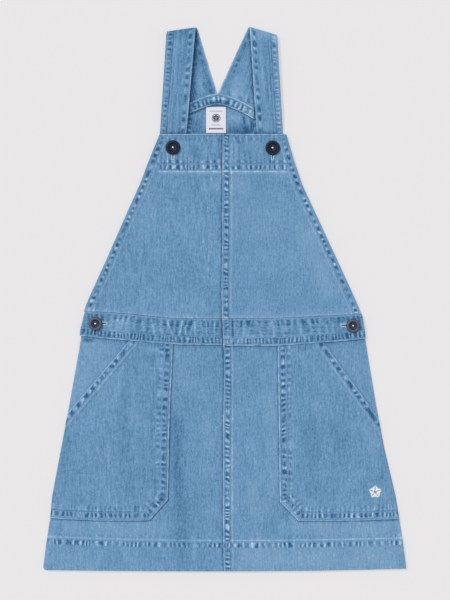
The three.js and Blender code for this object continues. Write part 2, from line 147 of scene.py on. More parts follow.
def filled(marks: Iterable[float], step: float) -> list[float]:
    """Sort marks, drop those that nearly touch and fill the wide gaps with even steps.

    Args:
        marks: Where a line is needed.
        step: The widest gap that may stay open.

    Returns:
        Where the lines lie.
    """
    first, *others = sorted(marks)
    out = [first]
    for mark in others:
        gap = mark - out[-1]
        if gap > TOUCHING:
            out += list(np.linspace(out[-1], mark, max(1, math.ceil(gap / step)) + 1)[1:])
    return out


# ---- Lines on the cloth -----------------------------------------------------------------------


class Edge:
    """A line on the laid cloth, given by a chain of points, that distances are measured from."""

    def __init__(self, points: Iterable[Point]) -> None:
        """Keep the chain and the running length at each of its points."""
        self.points = np.array(list(points), float)
        steps = np.diff(self.points, axis=0)
        self.lengths = np.hypot(*steps.T)
        self.directions = steps / self.lengths[:, None]
        self.runs = np.concatenate([[0], np.cumsum(self.lengths)])

    @classmethod
    def through(cls, *places: float) -> Edge:
        """Draw a line through places given as x, y, x, y and so on."""
        return cls(zip(places[::2], places[1::2]))

    def measure(self, x: Array, y: Array) -> tuple[Array, Array, Array]:
        """Measure how far points lie from the line, and how far along it.

        Args:
            x: Their places across.
            y: Their places along the dress.

        Returns:
            Distance from the line, distance along it, and 1 beside it falling to 0 past its ends.
        """
        best = np.full(np.shape(x), np.inf)
        along = np.zeros(np.shape(x))
        for start, way, length, run in zip(self.points, self.directions, self.lengths, self.runs):
            dx, dy = x - start[0], y - start[1]
            t = np.clip(dx * way[0] + dy * way[1], 0, length)
            away = np.hypot(dx - t * way[0], dy - t * way[1])
            nearer = away < best
            best = np.where(nearer, away, best)
            along = np.where(nearer, run + t, along)
        ends = ((self.points[0], -self.directions[0]), (self.points[-1], self.directions[-1]))
        past = [(x - end[0]) * way[0] + (y - end[1]) * way[1] for end, way in ends]
        return best, along, 1 - smoothstep(0, 2, np.maximum(*past))

    def toward(self, point: Point, distance: float) -> Edge:
        """Make the line beside this one, on the side that a point is on.

        Args:
            point: A point on the wanted side.
            distance: How far from this line, in mm.

        Returns:
            The line beside it, with its corners mitred.
        """
        turns = np.concatenate([self.directions[:1], self.directions, self.directions[-1:]])
        middle = turns[:-1] + turns[1:]
        middle /= np.hypot(*middle.T)[:, None]
        normal = np.stack([-middle[:, 1], middle[:, 0]], 1)
        mitre = np.einsum("ij,ij->i", middle, turns[1:])
        nearest = np.argmin(np.hypot(*(self.points - np.array(point)).T))
        side = np.sign(normal[nearest] @ (np.array(point) - self.points[nearest]))
        return Edge(self.points + normal * (side * distance / mitre)[:, None])

    def at(self, run: Array) -> Array:
        """Give the points at these distances along the line."""
        return np.stack([np.interp(run, self.runs, c) for c in self.points.T], 1)


@dataclass
class Relief:
    """What is added to a cloth at a set of points.

    height is in mm and wear runs from -1, darkest, to 1, palest: dye left deep and cloth
    rubbed pale, and also painted shade and painted highlights. turns counts the puckers along a seam
    and drawn says how strongly the cloth puckers.
    """

    height: Array
    # darkening and paling of the cloth: real wear and dye, and painted shade and painted highlights
    wear: Array
    turns: Array
    drawn: Array

    @classmethod
    def flat(cls, like: Array) -> Relief:
        """Start with nothing added."""
        return cls(*(np.zeros(np.shape(like)) for _ in range(4)))

    def add(self, other: Relief, share: Array | float = 1.0) -> Relief:
        """Add another relief, keeping the stronger of the two sets of puckers.

        Args:
            other: What to add.
            share: How much of it, at each point or everywhere.

        Returns:
            This relief.
        """
        self.height = self.height + other.height * share
        self.wear = self.wear + other.wear * share
        stronger = other.drawn * share > self.drawn
        self.turns = np.where(stronger, other.turns, self.turns)
        self.drawn = np.where(stronger, other.drawn * share, self.drawn)
        return self


@dataclass(frozen=True)
class Sewn:
    """How one edge is sewn, in mm: what is turned in under it, its rows of stitches and its puckers.

    lines are tones that run along the edge, each its distance, width and wear; the dark ones at
    the very edge are painted shade. zones are strips of puckers, each where it starts and ends, its
    contrast and what it adds to the wear. Puckers lie a pitch apart, lean with some sway and
    stand up by their depth. crest is how pale the edge is drawn, partly rubbed and partly a painted
    highlight, turning how high the turned-in cloth lifts it and sink how deep the stitches pull it down.
    """

    turned: float = 0.0
    rows: tuple[float, ...] = ()
    lines: Rows = ()
    zones: Rows = ()
    pitch: float = 6.0
    lean: float = 0.1
    sway: float = 0.35
    depth: float = 0.3
    crest: float = 0.6
    turning: float = 0.8
    sink: float = 0.22

    def profile(self, away: Array, run: Array, seed: int) -> Relief:
        """Shape the cloth beside the edge.

        Args:
            away: Distance from the edge.
            run: Distance along it.
            seed: Which of many such edges.

        Returns:
            What is added to the cloth.
        """
        made = Relief.flat(away)
        # the pale line along the edge: cloth rubbed pale on the fold, and a painted highlight where the fold
        # meets the light
        rubbed_and_lit = self.crest * patchy(noise(run / 4.0, seed + 9))
        made.wear += rubbed_and_lit * (1 - smoothstep(0.5, 1.6, away))
        if self.turned:
            made.height += self.turning * (1 - smoothstep(self.turned - 0.4, self.turned + 1.6, away))
        for distance, width, wear in self.lines:
            broken = 1 + 0.4 * noise(run / 3.0, seed + 4 + round(distance))
            made.wear += wear * broken * bell(away, distance, width)
        for row in self.rows:
            made.height -= self.sink * bell(away, row, 0.6)
        leaning = self.lean + self.sway * noise(run / (2.4 * self.pitch), seed + 5)
        drift = 0.7 * noise(run / (2.1 * self.pitch), seed) + 0.25 * noise(run / self.pitch, seed + 1)
        made.turns = (run + leaning * away) / self.pitch + drift
        ridge = 2 * (0.5 + 0.5 * np.cos(TAU * made.turns)) ** 1.5 - 1
        for low, high, contrast, bias in self.zones:
            zone = smoothstep(low - 0.9, low + 0.7, away) * (1 - smoothstep(high - 0.7, high + 1.0, away))
            uneven = patchy(noise2(run / (1.5 * self.pitch), away / 5.0, seed + 13))
            made.drawn = np.maximum(made.drawn, contrast * uneven * zone)
            made.wear += bias * zone
        made.height += self.depth * np.minimum(1, made.drawn) * ridge
        # of two seams that pucker nowhere near, the nearer one still gives the count
        made.drawn += 0.001 / (1 + away)
        return made

    def marks(self) -> list[float]:
        """Give the distances from the edge where the mesh needs a line.

        Returns:
            Those beside every row, tone, strip and turned edge, without the rim's own.
        """
        near = [row + off for row in self.rows for off in (-0.7, 0.1, 0.9)]
        near += [line[0] + off * line[1] for line in self.lines for off in (-1, 0, 1)]
        near += [end for zone in self.zones for end in zone[:2]]
        near += [self.turned + off for off in (-0.4, 0.6, 1.6)] if self.turned else []
        return [mark for mark in near if mark > 1.0]


@dataclass(frozen=True)
class Seam:
    """One sewn edge in its place on the dress."""

    edge: Edge
    sewn: Sewn
    seed: int

    def relief(self, x: Array, y: Array) -> Relief:
        """Give what the seam adds to the cloth at points."""
        away, run, beside = self.edge.measure(x, y)
        return Relief.flat(x).add(self.sewn.profile(away, run, self.seed), beside)


@dataclass(frozen=True)
class Crease:
    """A soft fold, hollow or band of tone along a chain of points, in mm; many bands are painted shade beside
    raised edges and in hollows, and some are painted highlight.
    """

    SEED: ClassVar[int] = 77

    edge: Edge
    width: float
    wear: float
    faded: float = 0.3
    uneven: float = 0.0
    height: float = 0.0

    def relief(self, x: Array, y: Array) -> Relief:
        """Give what the line adds to the cloth at points.

        Args:
            x: Their places across.
            y: Their places along the dress.

        Returns:
            What is added, fading to nothing at both ends of a faded line.
        """
        away, run, _ = self.edge.measure(x, y)
        shape = bell(away, 0, self.width)
        if self.faded:
            end = self.edge.runs[-1]
            reach = self.faded * end
            shape = shape * smoothstep(0, reach, run) * smoothstep(0, reach, end - run)
        made = Relief.flat(x)
        made.height = self.height * shape
        made.wear = self.wear * shape * (1 + self.uneven * noise(run / 3.0, self.SEED))
        return made


def toned(*rows: tuple[float, ...], uneven: float = 0.0) -> tuple[Crease, ...]:
    """Make tone lines from rows of x, y, x, y and so on, then the width, the wear and the fade."""
    return tuple(Crease(Edge.through(*row[:-3]), *row[-3:], uneven) for row in rows)


# ---- Meshes -----------------------------------------------------------------------------------


class Shape:
    """The faces of one piece, in mm, with where its points lie on their cloth and how worn and shaded it is
    painted.
    """

    # where a stitch's rings lie along it, their share of its thickness and of its rise
    RINGS = ((0.0, 0.0, -0.25), (0.14, 0.85, 0.5), (0.5, 1.0, 1.0), (0.86, 0.85, 0.5), (1.0, 0.0, -0.25))
    # how many points go round a stitch
    ROUND = 5

    def __init__(self) -> None:
        """Start with nothing."""
        self.points: list[Array] = []
        self.faces: list[Array] = []
        self.cloth: list[Array] = []
        self.look: list[Array] = []
        self.count = 0

    def add(self, points: Array, faces: Array, cloth: Array | None = None, look: Array | None = None) -> None:
        """Add points and faces.

        Args:
            points: One row of x, y, z for each point.
            faces: One row of point numbers for each face, all faces with as many corners.
            cloth: Where each point lies on its cloth, the points themselves if left out.
            look: Wear and painted shade, turns and drawn of each point, all 0 if left out.
        """
        self.points.append(points)
        self.faces.append(faces + self.count)
        self.cloth.append(points if cloth is None else cloth)
        self.look.append(np.zeros((len(points), 3)) if look is None else look)
        self.count += len(points)

    def add_shell(self, over: Array, under: Array, cloth: Array, relief: Relief) -> None:
        """Add a closed sheet from two grids of points that meet along their borders.

        Args:
            over: Grid of points of the upper face, with rows along Y and columns along X.
            under: Grid of points of the lower face.
            cloth: Where each point lies on its cloth.
            relief: What was added to the cloth at each point.
        """
        rows, columns = over.shape[:2]
        top = np.arange(rows * columns).reshape(rows, columns)
        inner = np.zeros((rows, columns), bool)
        inner[1:-1, 1:-1] = True
        below = top.copy()
        below[inner] = rows * columns + np.arange(inner.sum())
        up = np.stack([top[:-1, :-1], top[:-1, 1:], top[1:, 1:], top[1:, :-1]], -1)
        down = np.stack([below[:-1, :-1], below[1:, :-1], below[1:, 1:], below[:-1, 1:]], -1)
        faces = np.concatenate([up.reshape(-1, 4), down.reshape(-1, 4)])
        look = np.stack([relief.wear, relief.turns, relief.drawn], -1)
        pairs = ((over, under), (cloth, cloth), (look, look))
        points, *both = (np.concatenate([a.reshape(-1, 3), b[inner]]) for a, b in pairs)
        self.add(points, faces, *both)

    def add_lathe(self, profile: Sequence[Point], centre: Point, around: int, ring: bool = False) -> None:
        """Add a turned solid about an upright axis.

        Args:
            profile: Radius and height of each point, from the middle of its foot to its top.
            centre: Where the axis stands.
            around: How many faces go round it.
            ring: Whether the profile closes on itself, as a hoop's does.
        """
        turn = np.arange(around) * TAU / around
        radius, height = (v[:, None] for v in np.array(profile, float).T)
        x, y = centre[0] + radius * np.cos(turn), centre[1] + radius * np.sin(turn)
        index = np.arange(x.size).reshape(x.shape)
        lower = np.concatenate([index, index[:1]]) if ring else index
        ahead = np.roll(lower, -1, 1)
        sides = np.stack([lower[:-1], ahead[:-1], ahead[1:], lower[1:]], -1).reshape(-1, 4)
        start = self.count
        self.add(np.stack([x, y, height + 0 * x], -1).reshape(-1, 3), sides)
        if not ring:
            self.faces += [index[:1, ::-1] + start, index[-1:] + start]

    def add_stitches(self, starts: Array, ends: Array, up: Array, radius: float, rise: float = 0.14) -> None:
        """Add stitches, each a short bulging thread whose ends dip into the cloth.

        Args:
            starts: Where each begins, on the cloth's surface.
            ends: Where each ends.
            up: The way out of the cloth, for each or for all.
            radius: Half the thread's thickness.
            rise: How high the thread's middle stands over the cloth.
        """
        if not len(starts):
            return
        up = np.broadcast_to(up, starts.shape)
        way = ends - starts
        side = np.cross(way, up)
        side /= np.linalg.norm(side, axis=1)[:, None]
        turn = np.arange(self.ROUND) * TAU / self.ROUND
        swing = side[:, None] * np.cos(turn)[:, None] + up[:, None] * np.sin(turn)[:, None]
        rings = []
        for share, girth, lift in self.RINGS:
            middle = (starts + way * share + up * (rise * lift))[:, None]
            rings.append(middle + swing * radius * girth if girth else middle)
        points = np.concatenate(rings, 1)
        # point 0 is the foot, three rings of points follow, and the last one is the tip
        rows = np.arange(3)[:, None] * self.ROUND + np.arange(self.ROUND) + 1
        ahead = np.roll(rows, -1, 1)
        foot = 0 * rows[0]
        tip = foot + rows[-1, -1] + 1
        tips = [np.stack([foot, ahead[0], rows[0]], -1), np.stack([tip, rows[-1], ahead[-1]], -1)]
        bands = [np.stack([rows[r], ahead[r], ahead[r + 1], rows[r + 1]], -1) for r in (0, 1)]
        offset = (np.arange(len(starts)) * points.shape[1])[:, None, None]
        start = self.count
        self.add(points.reshape(-1, 3), (np.concatenate(tips) + offset).reshape(-1, 3))
        self.faces.append((np.concatenate(bands) + offset).reshape(-1, 4) + start)

    def sew_on(self, surface: Field, starts: Array, ends: Array, radius: float, rise: float = 0.14) -> None:
        """Add stitches between places on a cloth that lies flat."""
        placed = [np.column_stack([e, surface(e[:, 0], e[:, 1])]) for e in (starts, ends)]
        self.add_stitches(*placed, UP, radius, rise)

    def build(self, name: str, material: bpy.types.Material, slot: str, *replaces: str) -> bpy.types.Object:
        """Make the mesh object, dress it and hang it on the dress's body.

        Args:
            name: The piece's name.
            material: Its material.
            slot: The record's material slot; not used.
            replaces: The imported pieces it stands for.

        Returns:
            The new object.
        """
        mesh = bpy.data.meshes.new(name)
        points = np.concatenate(self.points) * MM
        sizes = np.concatenate([np.full(len(f), f.shape[1]) for f in self.faces])
        corners = np.concatenate([f.ravel() for f in self.faces])
        mesh.vertices.add(len(points))
        mesh.vertices.foreach_set("co", points.ravel())
        mesh.loops.add(len(corners))
        mesh.loops.foreach_set("vertex_index", corners)
        mesh.polygons.add(len(sizes))
        mesh.polygons.foreach_set("loop_start", np.concatenate([[0], np.cumsum(sizes)[:-1]]))
        mesh.update(calc_edges=True)
        mesh.validate()
        mesh.shade_smooth()
        layers = {"cloth": np.concatenate(self.cloth) * MM, "look": np.concatenate(self.look)}
        for layer, values in layers.items():
            mesh.attributes.new(layer, "FLOAT_VECTOR", "POINT").data.foreach_set("vector", values.ravel())
        mesh.materials.append(material)
        piece = bpy.data.objects.new(name, mesh)
        bpy.context.scene.collection.objects.link(piece)
        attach(piece, "root")
        if replaces:
            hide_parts(*replaces)
        LOG.info("%s: %d triangles of %s", name, (sizes - 2).sum(), material.name)
        return piece


# ---- Materials --------------------------------------------------------------------------------


def linear(colour: str) -> tuple[float, float, float, float]:
    """Turn a #rrggbb colour, as the eye sees it on a screen, into linear light."""
    channels = [int(colour[i : i + 2], 16) / 255 for i in (1, 3, 5)]
    return (*(c / 12.92 if c <= 0.04045 else ((c + 0.055) / 1.055) ** 2.4 for c in channels), 1.0)


def add_node(tree: bpy.types.NodeTree, kind: str, inputs: dict[Any, Any], **settings: Any) -> Any:
    """Add a node, set it up and wire or set its inputs.

    Args:
        tree: The node tree to add it to.
        kind: The node's type, without the word that all types start with.
        inputs: What goes into each input, by name or number: another node's output or a constant.
        settings: The node's own settings.

    Returns:
        The new node.
    """
    node = tree.nodes.new(f"ShaderNode{kind}")
    for name, value in settings.items():
        setattr(node, name, value)
    for name, value in inputs.items():
        if isinstance(value, bpy.types.NodeSocket):
            tree.links.new(value, node.inputs[name])
        else:
            node.inputs[name].default_value = value
    return node


def new_material(name: str) -> tuple[bpy.types.Material, bpy.types.NodeTree]:
    """Make an empty material and give its node tree.

    Args:
        name: The material's name.

    Returns:
        The material and its tree.
    """
    material = bpy.data.materials.new(name)
    material.use_nodes = True
    material.node_tree.nodes.clear()
    return material, material.node_tree


@dataclass(frozen=True)
class Denim:
    """Washed denim: indigo warp streaked with white weft, rubbed pale where it stands proud, and painted
    darker and paler where shade and light fall.

    stops are its colours from the deepest to the palest, with the wear and painted shade each is seen at.
    hollow and ridge say how dark and how pale the two sides of a pucker are.
    """

    name: str
    stops: tuple[tuple[float, str], ...] = ((-1, "#356089"), (0, "#6b98bc"), (0.5, "#86a9c9"), (1, "#b6d1e5"))
    roughness: float = 0.95
    # from one diagonal rib to the next
    twill: float = 0.9
    # Each layer of yarn and wash: its size across and along the grain in mm, strength and detail.
    # Real yarns lie about 0.5 mm apart, too fine to show, so they are drawn 1.3 to 1.5 mm apart.
    layers: Rows = ((1.5, 18, 0.19, 2), (1.3, 3.6, 0.28, 2), (3.4, 1.4, 0.13, 2), (26, 36, 0.09, 2))
    hollow: float = 0.85
    ridge: float = 0.6
    specular: float = 0.04
    # how far the ribs and puckers stand out, in mm
    grain: float = 0.12

    def sums(self) -> list[tuple[Any, ...]]:
        """List the sums that turn a point's wear and puckers into its shade and its relief.

        Returns:
            For each sum its name, what it does, and its terms, which may be names of earlier ones.
        """
        # puckers: broad dark hollows between narrow pale ridges, no two as strong
        rows: list[tuple[Any, ...]] = [
            ("shift", "MULTIPLY_ADD", "wobble", 0.45, -0.22),
            ("phase", "ADD", "turns", "shift"),
            ("angle", "MULTIPLY", "phase", TAU),
            ("swing", "COSINE", "angle"),
            ("lifted", "MULTIPLY_ADD", "swing", 0.5, 0.5),
            ("narrow", "POWER", "lifted", 1.5),
            ("wave", "MULTIPLY_ADD", "narrow", 2.0, -1.0),
        ]
        for part, rounding, depth in (("MINIMUM", "FLOOR", self.hollow), ("MAXIMUM", "ROUND", self.ridge)):
            rows += [
                ("number", rounding, "phase"),
                ("chance", "CHANCE", "number"),
                ("amount", "MULTIPLY_ADD", "chance", 0.6 * depth, 0.7 * depth),
                ("half", part, "wave", 0.0),
                (part, "MULTIPLY", "half", "amount"),
            ]
        # warp slubs run down the cloth, finer yarns and the weft's crossing threads lie over
        # them, and the wash leaves slow clouds, all calmer where the cloth is rubbed pale or painted with a
        # highlight
        rows += [
            ("patch", "MULTIPLY_ADD", "patches", 1.7, 0.15),
            ("strength", "MULTIPLY", "drawn", "patch"),
            ("both", "ADD", "MINIMUM", "MAXIMUM"),
            ("pucker", "MULTIPLY", "both", "strength"),
            ("value", "ADD", "worn", "pucker"),
            ("proud", "MAXIMUM", "worn", 0.0),
            ("calm", "MULTIPLY_ADD", "proud", -0.7, 1.0),
            ("lively", "MULTIPLY_ADD", "drawn", 0.25, "calm"),
        ]
        for number, (_, _, amount, _) in enumerate(self.layers):
            rows += [
                ("centred", "MULTIPLY_ADD", f"layer {number}", 6 * amount, -3 * amount),
                ("value", "MULTIPLY_ADD", "centred", "lively", "value"),
            ]
        # the twill's fine diagonal ribs and the puckers catch light from the side
        rows += [
            ("shade", "MULTIPLY_ADD", "value", 0.5, 0.5),
            ("rib", "SINE", "slope"),
            ("raised", "MULTIPLY_ADD", "pucker", 2.0, "rib"),
        ]
        return rows

    def material(self) -> bpy.types.Material:
        """Build the material.

        Returns:
            A matt cloth whose colour and puckers follow the "look" attribute, wear and painted shade,
            turns and drawn, and whose yarns follow "cloth", the place on the cloth.
        """
        material, tree = new_material(self.name)
        place, look = (
            add_node(tree, "Attribute", {}, attribute_name=name).outputs["Vector"]
            for name in ("cloth", "look")
        )
        known: dict[Any, Any] = dict(
            zip(("worn", "turns", "drawn"), add_node(tree, "SeparateXYZ", {0: look}).outputs)
        )
        clouds = {f"layer {number}": (*row[:2], row[3]) for number, row in enumerate(self.layers)}
        for name, (across, along, detail) in {"wobble": (5, 5, 1), "patches": (4, 4, 2), **clouds}.items():
            scale = (1 / (across * MM), 1 / (along * MM), 30.0)
            spot = add_node(tree, "VectorMath", {0: place, 1: scale}, operation="MULTIPLY")
            inputs = {"Vector": spot.outputs[0], "Scale": 1.0, "Detail": detail, "Roughness": 0.6}
            known[name] = add_node(tree, "TexNoise", inputs).outputs["Fac"]
        ribs = (TAU / (self.twill * MM), 0.5 * TAU / (self.twill * MM), 0)
        slope = add_node(tree, "VectorMath", {0: place, 1: ribs}, operation="DOT_PRODUCT")
        known["slope"] = slope.outputs["Value"]
        for name, operation, *terms in self.sums():
            values = [known.get(term, term) for term in terms]
            if operation == "CHANCE":
                node = add_node(tree, "TexWhiteNoise", {"W": values[0]}, noise_dimensions="1D")
            else:
                node = add_node(tree, "Math", dict(enumerate(values)), operation=operation)
            known[name] = node.outputs[0]
        shade = add_node(tree, "ValToRGB", {0: known["shade"]})
        elements = shade.color_ramp.elements
        elements[0].color, elements[1].color = linear(self.stops[0][1]), linear(self.stops[-1][1])
        for wear, colour in self.stops[1:-1]:
            elements.new((wear + 1) / 2).color = linear(colour)
        relief = {"Strength": 0.3, "Distance": self.grain * MM, "Height": known["raised"]}
        bump = add_node(tree, "Bump", relief)
        surface = {"Base Color": shade.outputs["Color"], "Normal": bump.outputs["Normal"]}
        surface |= {"Roughness": self.roughness, "Specular IOR Level": self.specular}
        shader = add_node(tree, "BsdfPrincipled", surface)
        add_node(tree, "OutputMaterial", {"Surface": shader.outputs[0]})
        return material


@dataclass(frozen=True)
class Plain:
    """A finish of one colour, clouded a little, with a fine grain in mm that roughens it."""

    name: str
    colour: str
    roughness: float
    metallic: float = 0.0
    sheen: float = 0.0
    specular: float = 0.5
    clouding: float = 0.1
    cloud_size: float = 2.0
    spread: float = 0.06
    grain: float = 0.02

    def material(self) -> bpy.types.Material:
        """Build the material.

        Returns:
            The finish, with noise in its colour, its roughness and its surface.
        """
        material, tree = new_material(self.name)
        place = add_node(tree, "Attribute", {}, attribute_name="cloth").outputs["Vector"]
        clouds = {"Vector": place, "Scale": 1 / (self.cloud_size * MM), "Detail": 3.0}
        cloud = add_node(tree, "TexNoise", clouds).outputs["Fac"]
        shares = (1 - self.clouding, 1 + self.clouding)
        low, high = ((*(c * share for c in linear(self.colour)[:3]), 1.0) for share in shares)
        colour = add_node(tree, "Mix", {0: cloud, 6: low, 7: high}, data_type="RGBA")
        spread = {"To Min": self.roughness - self.spread, "To Max": self.roughness + self.spread}
        rough = add_node(tree, "MapRange", {"Value": cloud, **spread})
        bump = add_node(tree, "Bump", {"Strength": 0.4, "Distance": self.grain * MM, "Height": cloud})
        surface = {"Base Color": colour.outputs[2], "Roughness": rough.outputs[0], "Normal": bump.outputs[0]}
        surface |= {"Metallic": self.metallic, "Sheen Weight": self.sheen}
        surface |= {"Specular IOR Level": self.specular}
        shader = add_node(tree, "BsdfPrincipled", surface)
        add_node(tree, "OutputMaterial", {"Surface": shader.outputs[0]})
        return material


class Finish(Enum):
    """Every finish on the dress."""

    DENIM = Denim("washed_denim")
    INSIDE = Denim("denim_wrong_side")
    PALE_THREAD = Plain("pale_thread", "#bfd5e6", 0.8, cloud_size=1.0)  # satin lips
    THREAD = Plain("tonal_thread", "#8ab0d0", 0.85, cloud_size=1.2)  # pale dashes
    WHITE_THREAD = Plain("white_thread", "#f2f4f5", 0.6, sheen=0.3, clouding=0.05)  # bright satin
    NAVY_THREAD = Plain("navy_thread", "#26304a", 0.7, sheen=0.2)  # small dark woven marks
    TAPE = Plain("label_tape", "#e3e3ee", 0.7, clouding=0.04, cloud_size=1.0)  # flat off-white
    GUNMETAL = Plain("gunmetal", "#182236", 0.45, specular=0.25)  # near-black, soft highlights
    SMOKED = Plain("smoked_metal", "#2a3448", 0.5, specular=0.25)  # dark blue-grey, a little paler than the gunmetal
    BRONZE = Plain("aged_bronze", "#575c69", 0.55, metallic=0.3, clouding=0.25)  # grey ring, paler than the bib buttons' to paint the sheen its rim catches
    STEEL = Plain("bright_steel", "#d8dade", 0.3, metallic=0.8)  # the glint in each button


Materials = dict[Finish, bpy.types.Material]


# ---- The dress as it lies ---------------------------------------------------------------------

# The front: height, half its width, and how far its middle drifts sideways.
OUTLINE = (
    (191.5, 73.5, -1.8), (161.5, 84, -3.5), (133.5, 94, -4.1), (105.5, 106.9, -4),
    (50, 132, -3.3), (-6, 157.5, -3.1), (-20, 162.4, -2.6), (-46, 164.9, -1.7),
    (-117, 177.1, -2.1), (-173, 187.6, -2.1), (-228.5, 199.4, -0.8), (-256, 203, 0.2),
    (-284, 207.2, 0.2), (-311.5, 210.6, 0.2), (-315.9, 209.3, 1.5),
)
# The waistband's two long edges: place across and height.
BAND_TOP = (
    (-165, -14.4), (-135, -15.6), (-105, -17.8), (-86, -20.2), (-60, -22.4),
    (-20, -22.9), (60, -22.3), (100, -20.6), (130, -19), (165, -16.8),
)
BAND_BOTTOM = (
    (-168, -42.6), (-144, -45.4), (-105, -48.8), (-77, -51.2), (-50, -52.9), (-4, -53.6),
    (4, -54.4), (65, -54), (100, -51.6), (130, -49.3), (165, -46.2),
)
# The waistband's ends: height, left and right.
BAND_ENDS = (
    (-15, -162.2, 158.8), (-24, -164.3, 160.8), (-35, -167.5, 162.8), (-42, -167.9, 163.6),
    (-47, -166.2, 163.9),
)
# The back bodice: height, left and right.
BACK = (
    (240, -42, 36), (191, -47, 42), (150, -63, 57), (100, -92, 84),
    (50, -118, 110), (-20, -156, 150),
)
# The centre seam: height and place.
SEAM = (
    (191.5, -2.4), (50, -2.8), (15, -3.7), (-12, -3.2), (-20, -2.9), (-54, -1.8), (-62, -0.7),
    (-110, -1), (-135, -1.9), (-160, -1.9), (-200, -2), (-250, -2.1), (-315.9, -1),
)
# Soft lengthwise swells in the skirt's front: place, width, height and where each starts.
SWELLS = (
    (-142, 26, 0.5, -110), (-84, 24, 0.6, -90), (-28, 22, 0.5, -140),
    (34, 24, 0.6, -80), (104, 26, 0.6, -120),
)


class Side(Enum):
    """The viewer's left or right half."""

    LEFT = -1
    RIGHT = 1

    @property
    def word(self) -> str:
        """Give the word that piece names end in."""
        return self.name.lower()

    @property
    def edges(self) -> tuple[str, str]:
        """Name the edge away from the dress's middle and the edge near it."""
        return ("left", "right") if self is Side.LEFT else ("right", "left")


@dataclass(frozen=True)
class Lay:
    """The lines and levels that the pieces share, in mm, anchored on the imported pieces.

    band_peek and hem_rise are for the left and the right. The names that end in "under" are
    heights of a piece's underside.
    """

    bib_top: float
    hem_middle: float
    gap: float = 0.05
    hem_rise: Point = (1.4, 3.0)
    hem_reach: float = 210.0
    hem_depth: float = 35.0
    hem_climb: float = 2.4
    hem_climb_over: float = 180.0
    band_peek: Point = (5.4, 3.4)
    peek_from: Point = (136.0, 152.0)
    front_under: float = 2.3
    bib_under: float = 3.2
    side_under: float = 1.3
    hem_under: float = 2.1
    side_run: float = 15.0

    @classmethod
    def from_frame(cls) -> Lay:
        """Read the bib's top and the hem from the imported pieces."""
        return cls(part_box("bib_left")[1].y / MM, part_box("skirt_front_right")[0].y / MM)

    def side_x(self, y: Array, side: Side) -> Array:
        """Give the front's side edge at a height."""
        return read(OUTLINE, y, 2) + side.value * read(OUTLINE, y, 1)

    def seam_x(self, y: Array) -> Array:
        """Give the centre seam at a height."""
        return read(SEAM, y, 1)

    def bib_edge(self, x: Array) -> Array:
        """Give the bib's upper edge."""
        return self.bib_top + 0 * x

    def waist_top(self, x: Array) -> Array:
        """Give the waistband's upper edge."""
        return np.interp(x, *zip(*BAND_TOP))

    def waist_bottom(self, x: Array) -> Array:
        """Give the waistband's lower edge."""
        return np.interp(x, *zip(*BAND_BOTTOM))

    def back_waist_bottom(self, x: Array) -> Array:
        """Give the back waistband's lower edge, which shows below the front's at its ends."""
        peek = np.where(np.asarray(x) < 0, *self.band_peek)
        return self.waist_bottom(x) - peek * smoothstep(*self.peek_from, np.abs(x))

    def hem_y(self, x: Array) -> Array:
        """Give the hem's lower edge."""
        rise = np.where(np.asarray(x) < 0, *self.hem_rise)
        return self.hem_middle + rise * (np.asarray(x) / self.hem_reach) ** 2

    def hem_foot(self, x: Array) -> Array:
        """Give the line a hem's depth below the hem's stitching, which climbs a little to the left."""
        return self.hem_y(x) + self.hem_climb * (np.minimum(x, 0) / self.hem_climb_over) ** 2

    def bib_base(self, x: Array, y: Array) -> Array:
        """Give the underside of the bib, which rises over the strap ends."""
        return lerp(self.front_under, self.bib_under, smoothstep(110, 150, y)) + 0 * x

    def skirt_base(self, x: Array, y: Array) -> Array:
        """Give the underside of the skirt's front, low at the side seams and swelling between.

        Args:
            x: Places across.
            y: Places along the dress.

        Returns:
            Its height there.
        """
        inward = np.minimum(x - self.side_x(y, Side.LEFT), self.side_x(y, Side.RIGHT) - x)
        ramp = smoothstep(0, self.side_run, inward)
        hem = smoothstep(0, 6, self.hem_y(x) + self.hem_depth + 6 - y)
        waist = smoothstep(-16, -4.4, y - self.waist_bottom(x))
        side = lerp(lerp(self.side_under, self.hem_under, hem), self.front_under, waist)
        swell = sum(
            height * smoothstep(0, 60, start - y) * bell(x, middle, width)
            for middle, width, height, start in SWELLS
        )
        return lerp(side, self.front_under, ramp) + ramp * swell

    def upright(self, line: Across, top: float, bottom: float, count: int = 24) -> Edge:
        """Make an edge that runs down the dress between two heights."""
        y = np.linspace(top, bottom, count)
        return Edge(zip(line(y), y))

    def seam_edge(self, top: float, bottom: float) -> Edge:
        """Make the centre seam between two heights."""
        return self.upright(self.seam_x, top, bottom, 6)

    def level(self, line: Across, left: float, right: float, count: int = 24) -> Edge:
        """Make an edge that runs across the dress."""
        x = np.linspace(left, right, count)
        return Edge(zip(x, line(x) + 0 * x))

    def edges(
        self, side: Side, outer: Across | None = None, inner: Across | None = None
    ) -> dict[str, Across]:
        """Give the two upright edges of a half, the right half lapping over the left.

        Args:
            side: Which half.
            outer: Its edge away from the middle, the front's side edge if left out.
            inner: Its edge near the middle, the centre seam if left out.

        Returns:
            Its left and its right edge, by name.
        """
        gap = self.gap if side is Side.LEFT else 0
        outer = outer or (lambda y: self.side_x(y, side))
        return dict(zip(side.edges, (outer, inner or (lambda y: self.seam_x(y) - gap))))


class Grain(Enum):
    """Which way a piece's warp runs."""

    DOWN = "down"
    ACROSS = "across"


